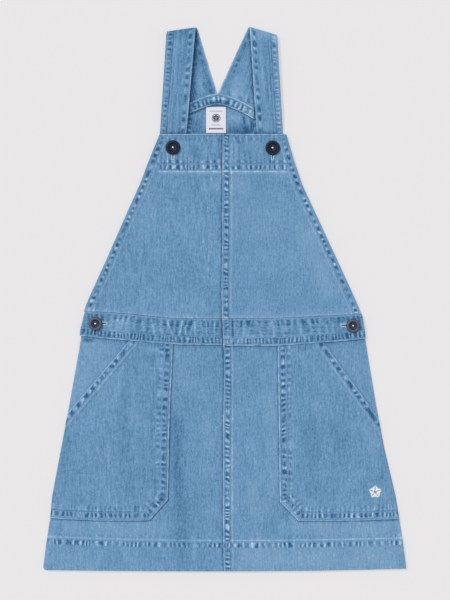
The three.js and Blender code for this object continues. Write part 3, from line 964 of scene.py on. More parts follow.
@dataclass
class Panel:
    """One piece of cloth lying flat, with its seams worked into its surface, in mm.

    cell and fine are the widest gaps between the mesh's lines in the middle and along the edges.
    lively is how high the cloth swells by itself and swells how far apart, across and along. Its
    edges round over a width that is bend and as much more as roll times its thickness.
    """

    name: str
    left: Across
    right: Across
    bottom: Across
    top: Across
    base: Field
    seams: dict[str, Seam] = field(default_factory=dict)
    works: Sequence[Any] = ()
    wall: float = 1.0
    cell: float = 1.7
    fine: float = 1.15
    grain: Grain = Grain.DOWN
    seed: int = 1
    lively: float = 0.1
    swells: Point = (27.0, 38.0)
    tone: float = 0.0
    bend: float = 0.45
    roll: float = 0.25

    def relief(self, x: Array, y: Array) -> Relief:
        """Give what seams and creases add to the cloth at points.

        Args:
            x: Their places across.
            y: Their places along the dress.

        Returns:
            What is added, with the cloth's own slow unevenness.
        """
        made = Relief.flat(x)
        made.height += self.lively * noise2(x / self.swells[0], y / self.swells[1], self.seed)
        made.wear += self.tone
        for work in (*self.seams.values(), *self.works):
            made.add(work.relief(x, y))
        return made

    def surface(self, x: Array, y: Array) -> Array:
        """Give the height of the cloth's upper face at points."""
        return self.base(x, y) + self.wall + self.relief(x, y).height

    def holds(self, x: Array, y: Array, margin: float) -> Array:
        """Say which points lie within the piece, that far from its edges."""
        across = (x > self.left(y) + margin) & (x < self.right(y) - margin)
        return across & (y > self.bottom(x) + margin) & (y < self.top(x) - margin)

    def centre(self) -> Point:
        """Give the middle of the piece."""
        y = float(self.bottom(0.0) + self.top(0.0)) / 2
        return float(self.left(y) + self.right(y)) / 2, y

    def ends(self) -> Point:
        """Give the piece's lower and upper end above its middle."""
        x, _ = self.centre()
        return float(self.bottom(x)), float(self.top(x))

    def lines(self, start: str, end: str, length: float) -> Array:
        """Choose where the grid's lines run between two opposite edges.

        Args:
            start: Name of the edge they count from.
            end: Name of the opposite edge.
            length: Distance between the edges.

        Returns:
            For each line its distance from the start, from the end, and its share of what is left.
        """
        marks = [self.seams[e].sewn.marks() if e in self.seams else [] for e in (start, end)]
        first, last = (filled([*RIM, *near], self.fine) for near in marks)
        count = max(2, math.ceil((length - first[-1] - last[-1]) / self.cell))
        between = [(first[-1], last[-1], k / count) for k in range(1, count)]
        return np.array([(d, 0, 0) for d in first] + between + [(0, d, 1) for d in reversed(last)]).T

    def slant(self, line: Across, place: Array) -> Array:
        """Give how much longer a step straight across is than one square to a slanting edge."""
        return np.sqrt(1 + ((line(place + 3) - line(place - 3)) / 6) ** 2)

    def grid(self) -> tuple[Array, Array, Array]:
        """Place the grid.

        Returns:
            X and Y of each crossing, and its distance from the nearest edge.
        """
        ends = self.ends()
        spread = np.linspace(*ends, 9)
        width = float(np.max(self.right(spread) - self.left(spread)))
        a, b, across = (v[None] for v in self.lines("left", "right", width))
        c, d, along = (v[:, None] for v in self.lines("bottom", "top", ends[1] - ends[0]))
        y = lerp(ends[0] + c, ends[1] - d, along) + 0 * across
        # the edges lean on each other, and a few rounds settle them
        for _ in range(4):
            lean, far = self.slant(self.left, y), self.slant(self.right, y)
            x = lerp(self.left(y) + a * lean, self.right(y) - b * far, across)
            y = lerp(self.bottom(x) + c, self.top(x) - d, along)
        sides = (
            (x - self.left(y)) / self.slant(self.left, y),
            (self.right(y) - x) / self.slant(self.right, y),
            (y - self.bottom(x)) / self.slant(self.bottom, x),
            (self.top(x) - y) / self.slant(self.top, x),
        )
        away = np.maximum(np.minimum.reduce(sides), 0)
        away[[0, -1]] = 0
        away[:, [0, -1]] = 0
        return x, y, away

    def shape(self) -> Shape:
        """Build the closed sheet, its edges rounded as folded cloth is.

        Returns:
            The sheet.
        """
        x, y, away = self.grid()
        relief = self.relief(x, y)
        thick = self.wall + relief.height
        full = np.sqrt(1 - (1 - np.clip(away / (self.bend + self.roll * thick), 0, 1)) ** 2)
        middle = self.base(x, y) + thick / 2
        over, below = (np.stack([x, y, middle + sign * full * thick / 2], -1) for sign in (1, -1))
        lanes = (x, y) if self.grain is Grain.DOWN else (y, x)
        cloth = np.stack([*lanes, np.full(x.shape, APART * self.seed)], -1)
        shape = Shape()
        shape.add_shell(over, below, cloth, relief)
        return shape

    def plan_area(self) -> float:
        """Give the area that the piece was cut to, in square metres.

        Returns:
            Its mean width times its length.
        """
        y = np.linspace(*self.ends(), 200)
        return float(np.mean(self.right(y) - self.left(y)) * (y[-1] - y[0])) * MM * MM

    def sew(self, thread: Shape) -> None:
        """Add the stitches of every row along the piece's seams.

        Args:
            thread: The mesh that gathers them.
        """
        for seam in (*self.seams.values(), *(w for w in self.works if isinstance(w, Seam))):
            for row in seam.sewn.rows:
                line = seam.edge.toward(self.centre(), row)
                starts = np.arange(0.4, line.runs[-1] - STITCH, STEP)
                ends = [line.at(starts), line.at(starts + STITCH)]
                kept = np.logical_and(*(self.holds(e[:, 0], e[:, 1], MARGIN) for e in ends))
                thread.sew_on(self.surface, *(e[kept] for e in ends), THREAD)

    def show(self, finish: bpy.types.Material, slot: str, rests_on: str) -> None:
        """Build the piece and work out its cloth's area.

        Args:
            finish: Its material.
            slot: The record's material slot.
            rests_on: What it lies on; not used.
        """
        piece = self.shape().build(f"{self.name}_cloth", finish, slot, self.name)
        width, length = np.ptp([v.co[:2] for v in piece.data.vertices], axis=0)
        area = min(self.plan_area(), float(width * length))


# ---- Front ------------------------------------------------------------------------------------


@dataclass(frozen=True)
class Buttonhole:
    """A slit with satin-stitched lips, running from under its button, in mm."""

    start: Point
    end: Point
    lip: float = 1.7
    gap: float = 0.45

    def relief(self, x: Array, y: Array) -> Relief:
        """Sink the cloth in the slit and darken it with painted shade, and draw it up a little on both sides.

        Args:
            x: Places across.
            y: Places along the dress.

        Returns:
            What is added to the cloth there.
        """
        away, _, beside = Edge([self.start, self.end]).measure(x, y)
        made = Relief.flat(x)
        made.height = (0.15 * bell(away, self.lip, 1.4) - 0.45 * bell(away, 0, 0.8)) * beside
        # painted shade in the slit, and a slightly paler band beside it
        made.wear = (0.2 * bell(away, 3.2, 1.4) - 1.3 * bell(away, 0, 1.1)) * beside
        return made

    def sew(self, thread: Shape, surface: Field) -> None:
        """Add the satin stitches along both lips and across the far end.

        Args:
            thread: The mesh that gathers them.
            surface: The cloth's height at points.
        """
        line = Edge([self.start, self.end])
        way = line.directions[0]
        side = np.array([-way[1], way[0]])
        along = np.arange(0, line.runs[-1], SATIN_STEP)
        open_ = self.gap * (1.4 - along / line.runs[-1])[:, None]
        bar = np.arange(-self.lip, self.lip + 0.1, SATIN_STEP)[:, None] * side + self.end
        ends = [
            np.concatenate([*(line.at(along) + sign * side * out for sign in (-1, 1)), bar + past * way])
            for out, past in ((open_, -0.2), (open_ + self.lip, 1.2))
        ]
        thread.sew_on(surface, *ends, SATIN, 0.22)


@dataclass
class Front:
    """A piece of the front that comes as a left and a right half."""

    lay: Lay
    materials: Materials
    name: str = ""
    sewing: str = ""
    under: str = ""
    plain: Sewn = Sewn(crest=0.0)
    # the number that the seams of the left half and of the right half count from
    numbers: tuple[int, int] = (0, 0)
    holes: tuple[Buttonhole, ...] = ()
    # soft tones on the left half and on the right half, some of them painted shade
    tones: tuple[tuple[Crease, ...], ...] = ((), ())

    def panel(self, side: Side) -> Panel:
        """Lay out one half."""
        raise NotImplementedError

    def lay_out(self, side: Side, seams: Sequence[tuple[Edge, Sewn]], order: str, **parts: Any) -> Panel:
        """Lay out one half from what differs between the pieces.

        Args:
            side: Which half.
            seams: The line and the sewing of each edge.
            order: The edges that the seams are on, "away" and "near" for the upright ones.
            parts: The panel's other fields.

        Returns:
            The half.
        """
        number = self.numbers[side is Side.RIGHT]
        names = dict(zip(("away", "near"), side.edges))
        edges = [names.get(edge, edge) for edge in order.split()]
        numbered = {edge: Seam(*seam, number + k) for k, (edge, seam) in enumerate(zip(edges, seams))}
        return Panel(name=f"{self.name}_{side.word}", seams=numbered, seed=number, **parts)

    def build(self) -> None:
        """Build both halves, their stitching and the satin of their buttonholes."""
        thread, satin = Shape(), Shape()
        for number, side in enumerate(Side):
            panel = self.panel(side)
            panel.show(self.materials[Finish.DENIM], "denim", self.under.format(side.word))
            panel.sew(thread)
            for hole in self.holes[number : number + 1]:
                hole.sew(satin, panel.surface)
        thread.build(f"{self.sewing}_stitching", self.materials[Finish.THREAD], "denim")
        if self.holes:
            satin.build(f"{self.sewing}_buttonhole_satin", self.materials[Finish.PALE_THREAD], "denim")


@dataclass
class Bib(Front):
    """The bib's two halves, the right lapping over the left."""

    name: str = "bib"
    sewing: str = "bib"
    under: str = "back_bodice"
    numbers: tuple[int, int] = (11, 21)
    armhole: Sewn = Sewn(
        turned=10.5, rows=(1.8, 8.6), lines=((0, 0.6, -0.5), (10.2, 1, 0.4), (7.9, 0.8, -0.12)),
        zones=((3.5, 6.4, 1.3, 0),), pitch=8.6, sway=0.2, crest=0.5,
    )
    facing: Sewn = Sewn(
        turned=41, rows=(34.9, 42.4),
        lines=((0.3, 0.6, 0.3), (1.6, 0.7, -0.4), (34.2, 0.8, -0.25), (43.2, 0.9, 0.75), (44.9, 1.5, 0.3)),
        zones=((3, 9, 0.4, 0), (22, 29, 0.3, 0), (30.2, 33.6, 0.8, 0.05), (36.2, 41, 1.2, 0.1)), lean=0,
        sway=0.12,
    )
    lap: Sewn = Sewn(
        turned=8.7, rows=(1.7, 8.7),
        lines=((1.6, 0.7, -0.25), (5.9, 0.9, 0.2), (7.6, 1, -0.4), (10.3, 1.4, 0.45)),
        zones=((2.8, 7, 1.15, -0.1),), pitch=6.2, lean=-0.15, crest=0.7,
    )
    # the dark lines beside the centre seam and under each button are painted shade; the others are darker and
    # paler patches
    tones: tuple[tuple[Crease, ...], ...] = (
        toned(
            (-9, 188, -14, 158, 1.4, 0.3, 0.15),
            (-6, 190, -7, 158, 3, -0.3, 0.15),
            (-36, 182, -33, 160, 6, -0.2, 0.3),
            (-64, 166, -50, 160, 4, -0.3, 0.3),
            (-60, 188, -62, 160, 14, 0.12, 0.2),
            (-74, 187, -84, 156, 4.5, -0.4, 0.15),
            (-28, 131, -2, 131, 8, 0.22, 0.1),
        ),
        toned(
            (-2, 131, 32, 131, 8, 0.2, 0.1),
            (96, 84, 124, -4, 11, 0.26, 0.1),
            (12, 188, 16, 158, 1.8, 0.25, 0.15),
            (17, 188, 20, 160, 4, -0.15, 0.3),
            (46, 166, 58, 159, 4, -0.3, 0.3),
            (60, 130, 50, 20, 40, 0.08, 0.1),
        ),
    )
    holes: tuple[Buttonhole, ...] = (
        Buttonhole((-59.7, 169), (-59.7, 162.3)),
        Buttonhole((55.8, 168.6), (55.8, 161.9)),
    )

    def panel(self, side: Side) -> Panel:
        """Lay out one half.

        Args:
            side: Which half.

        Returns:
            The half.
        """
        lay, right = self.lay, side is Side.RIGHT
        low = lay.level(lay.waist_top, -162, 160)
        centre = lay.seam_edge(lay.bib_top, -30)
        # a painted highlight along the waistband's upper edge, offsetting the shade of the step up to it
        works = [Crease(low, 7.0, 0.16, 0.0), Crease(low, 2.4, 0.42, 0.0, 0.3), *self.tones[right]]
        works.append(self.holes[right])
        # the left half gets the painted shadow of the right half's lapped edge
        works += [] if right else [Crease(centre, 1.6, -0.8, 0.0, 0.3)]
        seams = (
            (lay.upright(lambda y: lay.side_x(y, side), lay.bib_top, -20), self.armhole),
            (lay.level(lay.bib_edge, -76, 72), self.facing),
            (low, self.plain),
            (centre, self.lap if right else self.plain),
        )
        return self.lay_out(
            side,
            seams,
            "away top bottom near",
            **lay.edges(side),
            bottom=lambda x: lay.waist_top(x) + lay.gap,
            top=lay.bib_edge,
            base=lay.bib_base,
            works=works,
            cell=1.6,
            roll=0.05,
        )


@dataclass
class Waistband(Front):
    """The waistband's two halves, the right lapping over the left, buttoned at both ends."""

    name: str = "waistband"
    sewing: str = "waistband"
    under: str = "back_waistband"
    numbers: tuple[int, int] = (31, 41)
    wall: float = 3.4
    upper: Sewn = Sewn(
        rows=(1.8,), lines=((9.8, 1.2, 0.1),), zones=((2.2, 9.6, 0.7, -0.14), (11, 18, 0.3, -0.03)),
        pitch=7.4, lean=0, sway=0.4, crest=0.4,
    )
    lower: Sewn = Sewn(
        rows=(1.7, 9.6), lines=((2, 0.9, -0.15), (10.8, 1, 0.18)), zones=((2.6, 8.8, 1, -0.05),),
        pitch=4.4, lean=0, sway=0.15, crest=1.1,
    )
    lap: Sewn = Sewn(
        rows=(1.7, 9.2), lines=((6.2, 0.9, 0.5), (12, 0.9, -0.6), (14.2, 1.2, 0.3)),
        zones=((2.8, 7.6, 0.8, 0),), pitch=5, lean=0, crest=1,
    )
    end: Sewn = Sewn(rows=(1.8,), crest=0.2)
    holes: tuple[Buttonhole, ...] = (
        Buttonhole((-143, -28.3), (-136.6, -28.1), gap=0.6),
        Buttonhole((142.4, -30.7), (135.4, -30.5), gap=0.6),
    )
    # a tone along each half above its lower edge: how far above, width and wear
    low_tones: Rows = ((10.6, 1.3, -0.35), (5.4, 4.0, 0.32))
    tones: tuple[tuple[Crease, ...], ...] = (
        toned(
            (-138, -28, -106, -30, 13, 0.42, 0.15),
            (-68, -32, -34, -36, 14, -0.18, 0.15),
            (-26, -21, -7, -21, 5, 0.35, 0.1),
        ),
        toned((14, -40, 36, -40, 12, 0.2, 0.15)),
    )
    # pale ridges from edge to edge: place at the top, place at the bottom, wear
    ridges: Rows = (
        (-119, -125, 0.25), (-107, -103, 0.3), (-96, -93, 0.35), (-84.5, -81.2, 0.6), (-76, -73, 0.3),
        (-67.6, -59.5, 0.55), (-48.7, -52.6, 0.6), (-48.3, -43.6, 0.5), (-35.3, -40.5, 0.4),
        (-35, -33.4, 0.4), (-27, -25, 0.3), (-19, -21, 0.3), (-12, -11, 0.3), (13.5, 14.5, 0.35),
        (21.5, 22.5, 0.3), (31, 26.5, 0.35), (37, 44, 0.35), (57, 57.5, 0.6), (67, 69, 0.35),
        (79, 77, 0.2), (88, 89, 0.4), (99, 101, 0.2), (110, 110.5, 0.4), (117, 120, 0.3),
        (125, 126.5, 0.35),
    )

    def ridge(self, start: float, end: float, wear: float) -> Crease:
        """Make one pale ridge."""
        line = Edge.through(start, self.lay.waist_top(start) - 1.5, end, self.lay.waist_bottom(end) + 9.0)
        return Crease(line, 1.0, 1.7 * wear, 0.12, height=0.2)

    def panel(self, side: Side) -> Panel:
        """Lay out one half.

        Args:
            side: Which half.

        Returns:
            The half.
        """
        lay, right = self.lay, side is Side.RIGHT
        centre = lay.seam_edge(-18, -58)
        above, *tone = self.low_tones[right]
        works = [self.holes[right], *(self.ridge(*row) for row in self.ridges if row[0] * side.value > 0)]
        works.append(Crease(lay.level(lambda x: lay.waist_bottom(x) + above, -110, 100), *tone, 0.0))
        works += self.tones[right]
        # the left half gets the painted shadow of the right half's lapped edge
        works += [] if right else [Crease(centre, 1.5, -1.0, 0.0)]
        seams = (
            (Edge((row[1 + right], row[0]) for row in BAND_ENDS), self.end),
            (lay.level(lay.waist_top, -164, 162), self.upper),
            (lay.level(lay.waist_bottom, -167, 165), self.lower),
            (centre, self.lap if right else self.plain),
        )
        return self.lay_out(
            side,
            seams,
            "away top bottom near",
            **lay.edges(side, lambda y: read(BAND_ENDS, y, 1 + right)),
            bottom=lay.waist_bottom,
            top=lay.waist_top,
            base=lambda x, y: lay.front_under + 0 * x,
            works=works,
            wall=self.wall,
            cell=1.3,
            grain=Grain.ACROSS,
            tone=-0.16,
            roll=0.05,
        )


@dataclass
class SkirtFront(Front):
    """The skirt's two front halves, the right lapping over the left."""

    name: str = "skirt_front"
    sewing: str = "skirt"
    under: str = "skirt_back"
    numbers: tuple[int, int] = (51, 61)
    lap: Sewn = Sewn(
        turned=11.4, rows=(1.7, 9.4),
        lines=((2.5, 0.8, -0.2), (6.4, 0.9, 0.2), (8.5, 0.9, -0.4), (11, 1.2, 0.48)),
        zones=((3, 7.4, 1.3, -0.05),), lean=-0.2, crest=0.65,
    )
    hem: Sewn = Sewn(
        turned=35, rows=(35,), lines=((35.9, 0.9, 0.5),),
        zones=((27.6, 32.8, 1.15, 0.07), (37.4, 41, 0.3, 0.04)), pitch=6.6, lean=0, sway=0.12, crest=0,
    )
    hem_edge: Sewn = Sewn(crest=0.3)
    side_seam: Sewn = Sewn(crest=0.25)
    # soft lengthwise hollows: x, y, x, y, width and wear; three are darkened with painted shade, one is paler
    folds: Rows = (
        (-33, -120, -30, -300, 6, -0.12),
        (-57, -118, -53, -270, 4, -0.12),
        (72, -200, 74, -312, 5, -0.20),
        (30, -120, 36, -290, 8, 0.10),
    )
    # where each pocket's edge lies on the skirt
    pockets: Rows = (
        (-60, -54, -63.2, -124, -65.6, -233, -87.2, -257, -200, -255.2),
        (61.6, -55, 62.8, -124, 64.2, -235, 86, -257.4, 203, -256),
    )
    # the dark band from (-57, -118) to (-46, -330) is painted shade of a soft fold beside the left pocket,
    # and the dark line at the waistband's left end is painted shade under the back waistband's edge
    tones: tuple[tuple[Crease, ...], ...] = (
        toned(
            (-150, -50, -178, -120, 22, 0.24, 0),
            (-190, -266, -60, -266, 9, 0.22, 0.05),
            (-210, -300, -20, -302, 16, 0.1, 0.1),
            (-57, -118, -46, -330, 8.5, -0.36, 0.15),
            (-196, -240, -208, -312, 7, 0.25, 0.1),
            (-28, -90, -22, -260, 9, 0.1, 0.3),
            (-166.5, -47.4, -150.5, -48.6, 2.4, -0.9, 0.25),
            (-166.5, -51.4, -149, -51.8, 1.1, 0.4, 0.2),
        ),
        toned(
            (145, -50, 178, -125, 20, 0.1, 0),
            (60, -266, 195, -266, 9, 0.25, 0.05),
            (10, -302, 205, -302, 20, 0.3, 0.05),
            (52, -90, 55, -240, 9, 0.16, 0.1),
            (3, -120, 6, -270, 9, 0.18, 0.15),
            (200, -240, 208, -300, 7, 0.3, 0.15),
        ),
    )

    def panel(self, side: Side) -> Panel:
        """Lay out one half.

        Args:
            side: Which half.

        Returns:
            The half.
        """
        lay, right = self.lay, side is Side.RIGHT
        centre = lay.seam_edge(-54, -318)
        low = lay.level(lay.waist_bottom, -167, 165)
        pocket = Edge.through(*self.pockets[right])
        works = [Seam(lay.level(lay.hem_y, -212, 212), self.hem_edge, self.numbers[right] + 4)]
        # painted shadow below the waistband, lifted again just at its edge
        works += [Crease(low, 3.6, -0.3, 0.0, 0.5), Crease(low, 1.2, 0.2, 0.0), *self.tones[right]]
        # painted shade along each pocket's edge, with a paler band beyond it
        works += [Crease(pocket, 1.4, -0.8, 0.0, 0.3), Crease(pocket, 3.8, 0.2, 0.0)]
        works += [Crease(Edge.through(*fold[:4]), *fold[4:], height=-0.15) for fold in self.folds]
        # the left half gets the painted shadow of the right half's lapped edge
        works += [] if right else [Crease(centre, 1.4, -0.6, 0.0, 0.3)]
        seams = (
            (lay.upright(lambda y: lay.side_x(y, side), -46, -316), self.side_seam),
            (centre, self.lap if right else self.plain),
            (lay.level(lay.hem_foot, -212, 212), self.hem),
            (low, self.plain),
        )
        return self.lay_out(
            side,
            seams,
            "away near bottom top",
            **lay.edges(side),
            bottom=lay.hem_y,
            top=lambda x: lay.waist_bottom(x) - lay.gap,
            base=lay.skirt_base,
            works=works,
            cell=1.9,
            fine=1.25,
        )


@dataclass
class Pockets(Front):
    """The two patch pockets, each open along its slanted edge."""

    name: str = "pocket"
    sewing: str = "pocket"
    under: str = "skirt_front_{}"
    numbers: tuple[int, int] = (71, 81)
    tones: tuple[tuple[Crease, ...], ...] = (
        toned(
            (-117, -70, -115, -250, 5, -0.16, 0.3),
            (-106, -70, -104, -240, 5, 0.1, 0.3),
            (-182, -140, -192, -215, 9, -0.16, 0.3),
            (-86, -60, -84, -75, 6, -0.25, 0.3),
            (-196, -236, -200, -262, 8, 0.25, 0.1),
            (-68, -75, -71, -215, 3, -0.15, 0.1),
            (-82, -75, -84, -235, 9, -0.15, 0.2),
            (-76, -52, -63, -66, 2, -0.5, 0.2),
            (-92, -58, -78, -59, -68, -68, 1.6, 0.35, 0.2),
            (-76, -222, -70, -230, -78, -238, 2, -0.6, 0.2),
            (-70, -219, -80, -228, -74, -240, 1.2, 0.5, 0.2),
        ),
        toned(
            (120, -120, 135, -200, 22, -0.1, 0.3),
            (84, -58, 96, -58, 3, -0.35, 0.2),
            (90, -248, 196, -247, 9, 0.14, 0.1),
            (150, -138, 180, -172, 11, 0.18, 0.1),
            (66, -232, 84, -256, 8, 0.22, 0.1),
            (196, -236, 202, -262, 8, 0.25, 0.1),
            (70, -226, 76, -238, 86, -240, 1.8, -0.6, 0.2),
            (74, -222, 80, -236, 88, -246, 1.2, 0.5, 0.2),
        ),
    )
    # each pocket's slanted mouth, down to where it meets the side seam: height and place across
    mouths: tuple[Rows, Rows] = (
        ((-44.0, -106.9), (-83.0, -140.2), (-124.0, -175.2), (-131.4, -181.4), (-147.0, -185.2)),
        ((-50.0, 115.0), (-124.0, 168.5), (-138.4, 178.9), (-150.0, 181.0)),
    )
    # each pocket's edge near the middle, with the cut-off corner last
    inners: tuple[Rows, Rows] = (
        (
            (-44, -59.6), (-83, -61), (-124, -63.2), (-131.4, -63.4), (-147, -63.9),
            (-233, -65.6), (-257, -87.2),
        ),
        ((-50.0, 61.6), (-124.0, 62.8), (-138.4, 63.0), (-150.0, 63.1), (-235.0, 64.2), (-257.4, 86.0)),
    )
    # the lower edge: its lowest height, its rise, where it is lowest and how far off it has risen
    feet: Rows = ((-257.2, 2.2, -122, 66), (-257.4, 1.5, 115, 70))
    # where the mouth's line would run on to, past the side seam
    mouth_ends: tuple[Point, Point] = ((-192.0, -144.0), (189.0, -152.4))
    lift: float = 1.5
    inset: float = 0.6
    opening: Sewn = Sewn(
        turned=10, rows=(1.7, 7.4), lines=((6, 0.9, -0.22), (8.8, 1.2, 0.38)),
        zones=((1.9, 5.6, 1.3, 0),), pitch=10.6, crest=0.75,
    )
    inner: Sewn = Sewn(
        turned=10, rows=(1.7, 9.5), lines=((2, 0.6, -0.4), (12.6, 1.5, 0.14)),
        zones=((3.4, 8, 1.05, -0.08), (10.8, 14.5, 0.55, 0)), pitch=7.6, crest=1,
    )
    lower: Sewn = Sewn(
        turned=10, rows=(1.7, 9.4),
        lines=((1.9, 0.6, -0.3), (3, 0.8, 0.2), (10.3, 0.8, -0.5), (12.2, 1, 0.14)),
        zones=((3.6, 8.6, 1.2, -0.1), (10.8, 17, 0.55, 0)), pitch=6.2, lean=0, sway=0.15, crest=0.7,
    )

    def panel(self, side: Side) -> Panel:
        """Lay out one pocket.

        Args:
            side: Which pocket.

        Returns:
            The pocket.
        """
        lay, right, sign = self.lay, side is Side.RIGHT, side.value
        mouth, near = self.mouths[right], self.inners[right]
        low, rise, lowest, reach = self.feet[right]

        def outer(y: Array) -> Array:
            """Give the edge towards the side."""
            return np.where(y > mouth[-1][0], read(mouth, y, 1), lay.side_x(y, side) - sign * self.inset)

        def bottom(x: Array) -> Array:
            """Give the lower edge."""
            return low + rise * ((np.asarray(x) - lowest) / reach) ** 2

        along = sign * np.linspace(abs(near[-1][1]), 203, 12)
        top = lay.level(lay.waist_bottom, -167, 165)
        seams = (
            (Edge([*(row[::-1] for row in mouth[:-1]), self.mouth_ends[right]]), self.opening),
            (Edge(row[::-1] for row in near[:-1]), self.inner),
            (Edge([near[-2][::-1], *zip(along, bottom(along))]), self.lower),
            (top, self.plain),
        )
        works = [
            # painted shadow below the waistband, lifted again just at its edge
            Crease(top, 3.6, -0.34, 0.0, 0.5),
            Crease(top, 1.2, 0.2, 0.0),
            *self.tones[right],
            # a soft hollow darkened with painted shade, and a paler ridge
            Crease(Edge.through(sign * 98, -120, sign * 105.84, -250), 9.0, -0.16, height=-0.2),
            Crease(Edge.through(sign * 80, -70, sign * 80, -230), 1.0, 0.12, height=0.12),
        ]
        return self.lay_out(
            side,
            seams,
            "away near bottom top",
            **lay.edges(side, outer, lambda y: read(near, y, 1)),
            bottom=bottom,
            top=lambda x: lay.waist_bottom(x) - lay.gap,
            base=lambda x, y: lay.skirt_base(x, y) + self.lift,
            works=works,
            cell=1.6,
        )

    def build(self) -> None:
        """Build both pockets, their stitching and the small flower on the right one."""
        super().build()
        petals = Shape()
        Flower((174.8, -223.6), petal=7.3, step=0.5).sew(petals, self.panel(Side.RIGHT).surface)
        petals.build("pocket_flower", self.materials[Finish.WHITE_THREAD], "label_tape")


# ---- Straps -----------------------------------------------------------------------------------


@dataclass
class Strap:
    """One shoulder strap: up from the bib, over the shoulder and down to the back neckline, in mm.

    front, fold and back are its two corners at the front end, at the fold and at the back end, and
    slide is how far it moves sideways as it turns over the shoulder. fold_tone and outer_tone are
    the tone below the fold and along the outer edge. shades are tones on the leg behind, among them
    the painted shadow that the front leg casts on it.
    """

    side: Side
    materials: Materials
    front: tuple[Point, Point]
    fold: tuple[Point, Point]
    back: tuple[Point, Point]
    slide: float
    fold_tone: float
    outer_tone: float
    shades: tuple[Crease, ...]
    wall: float = 1.6
    radius: float = 2.25
    width: float = 32.5
    outer: Sewn = Sewn(
        rows=(1.7, 7.2),
        lines=((0, 0.7, -0.5), (2.9, 2, 0.28), (8, 0.9, -0.5), (9.4, 0.7, 0.35), (11.2, 0.9, -0.25)),
        zones=((2.4, 6.4, 0.75, 0),), pitch=5.6, depth=0.2, crest=0.3,
    )
    inner: Sewn = Sewn(
        rows=(1.7, 7.2), lines=((0.9, 0.7, 0.3), (4.8, 1, -0.2), (6.8, 1, -0.12)),
        zones=((3, 7, 1, 0.06),), pitch=10.5, depth=0.2,
    )
    # the underside along each leg: place along the dress and height
    front_leg: Rows = ((272, 4.5), (216, 4.5), (205, 3), (193, 1.3), (172, 1.3))
    back_leg: Rows = ((290, 0), (266, 0), (254, 0.6), (243, 1.3), (230, 1.3))
    step: float = 1.15
    bend: float = 0.85
    # how far the strap lies from the other pieces on the pattern of the yarns
    pattern: float = 400.0
    # where the front leg dips behind the bib, as a distance along the strap
    tuck: float = 36.8
    # streaks of wash down the middle: distance from the left edge, width and wear
    streaks: Rows = ((12.8, 1.4, 0.22), (15.6, 1.5, -0.24), (18.6, 1.4, 0.16), (21.6, 1.6, -0.2))

    def __post_init__(self) -> None:
        """Work out the sections that the strap runs through."""
        across = np.subtract(self.fold[1], self.fold[0])
        across = across / np.hypot(*across)
        out = np.array([-across[1], across[0], 0.0])
        inset = self.radius + self.wall / 2
        spring = [(x - out[0] * inset, y - out[1] * inset) for x, y in self.fold]
        front, front_up = self.leg(self.front, spring, self.front_leg, UP)
        slid = [(x + self.slide, y) for x, y in spring]
        back, back_up = self.leg(slid, self.back, self.back_leg, -UP)
        angle = np.linspace(0, math.pi, 16)[1:-1, None]
        turn_up = UP * np.cos(angle) + out * np.sin(angle)
        turn = np.array([(x, y, inset) for x, y in spring])[None] + self.radius * turn_up[:, None]
        turn[..., 0] += self.slide * angle / math.pi
        self.corners = np.concatenate([front, turn, back])
        self.normals = np.concatenate([front_up, turn_up, back_up])
        steps = np.linalg.norm(np.diff(self.corners.mean(1), axis=0), axis=1)
        self.runs = np.concatenate([[0], np.cumsum(steps)])
        self.behind = float(self.runs[len(front) + 7])

    def leg(
        self, start: Sequence[Point], end: Sequence[Point], heights: Rows, up: Array
    ) -> tuple[Array, Array]:
        """Place the sections of one leg.

        Args:
            start: Its two corners at one end.
            end: Its two corners at the other.
            heights: The underside's height at places along the dress.
            up: The way the strap's right side faces.

        Returns:
            Left and right corner of each section, and the way it faces.
        """
        from_, to = np.array(start), np.array(end)
        count = math.ceil(np.hypot(*(to.mean(0) - from_.mean(0))) / self.step)
        flat = lerp(from_[None], to[None], np.linspace(0, 1, count + 1)[:, None, None])
        middle = flat[:, :, 1].mean(1)
        soft = np.mean([read(heights, middle + off, 1) for off in (-4, -2, 0, 2, 4)], axis=0)
        z = np.repeat((soft + self.wall / 2)[:, None], 2, 1)
        return np.concatenate([flat, z[..., None]], -1), np.broadcast_to(up, (count + 1, 3))

    def edges(self) -> tuple[Sewn, Sewn]:
        """Give how the strap's left and right edges are sewn."""
        return (self.outer, self.inner) if self.side is Side.LEFT else (self.inner, self.outer)

    def columns(self) -> Array:
        """Choose where the mesh's lines run.

        Returns:
            Their distances from the left edge.
        """
        near, far = (filled([*RIM, *sewn.marks()], 1.1) for sewn in self.edges())
        middle = np.linspace(near[-1], self.width - far[-1], 10)[1:-1]
        return np.array([*near, *middle, *(self.width - d for d in reversed(far))])

    def between(self, values: Array, across: Array, run: Array) -> Array:
        """Read what is known at the sections' two corners, at places between them."""
        left, right = (np.interp(run, self.runs, values[:, corner]) for corner in (0, 1))
        return lerp(left, right, across / self.width)

    def relief(self, across: Array, run: Array) -> Relief:
        """Give what seams, streaks and shades add to the strap.

        Args:
            across: Distances from the left edge.
            run: Distances along the strap.

        Returns:
            What is added there.
        """
        left = self.side is Side.LEFT
        number = 91 if left else 96
        near, far = self.edges()
        made = near.profile(across, run, number)
        made.add(far.profile(self.width - across, run, number + 20))
        for place, width, wear in self.streaks:
            drifting = place + 2.2 * noise(run / 45.0, number + round(place))
            made.wear += wear * (1 + noise(run / 12.0, number + 7)) * bell(across, drifting, width)
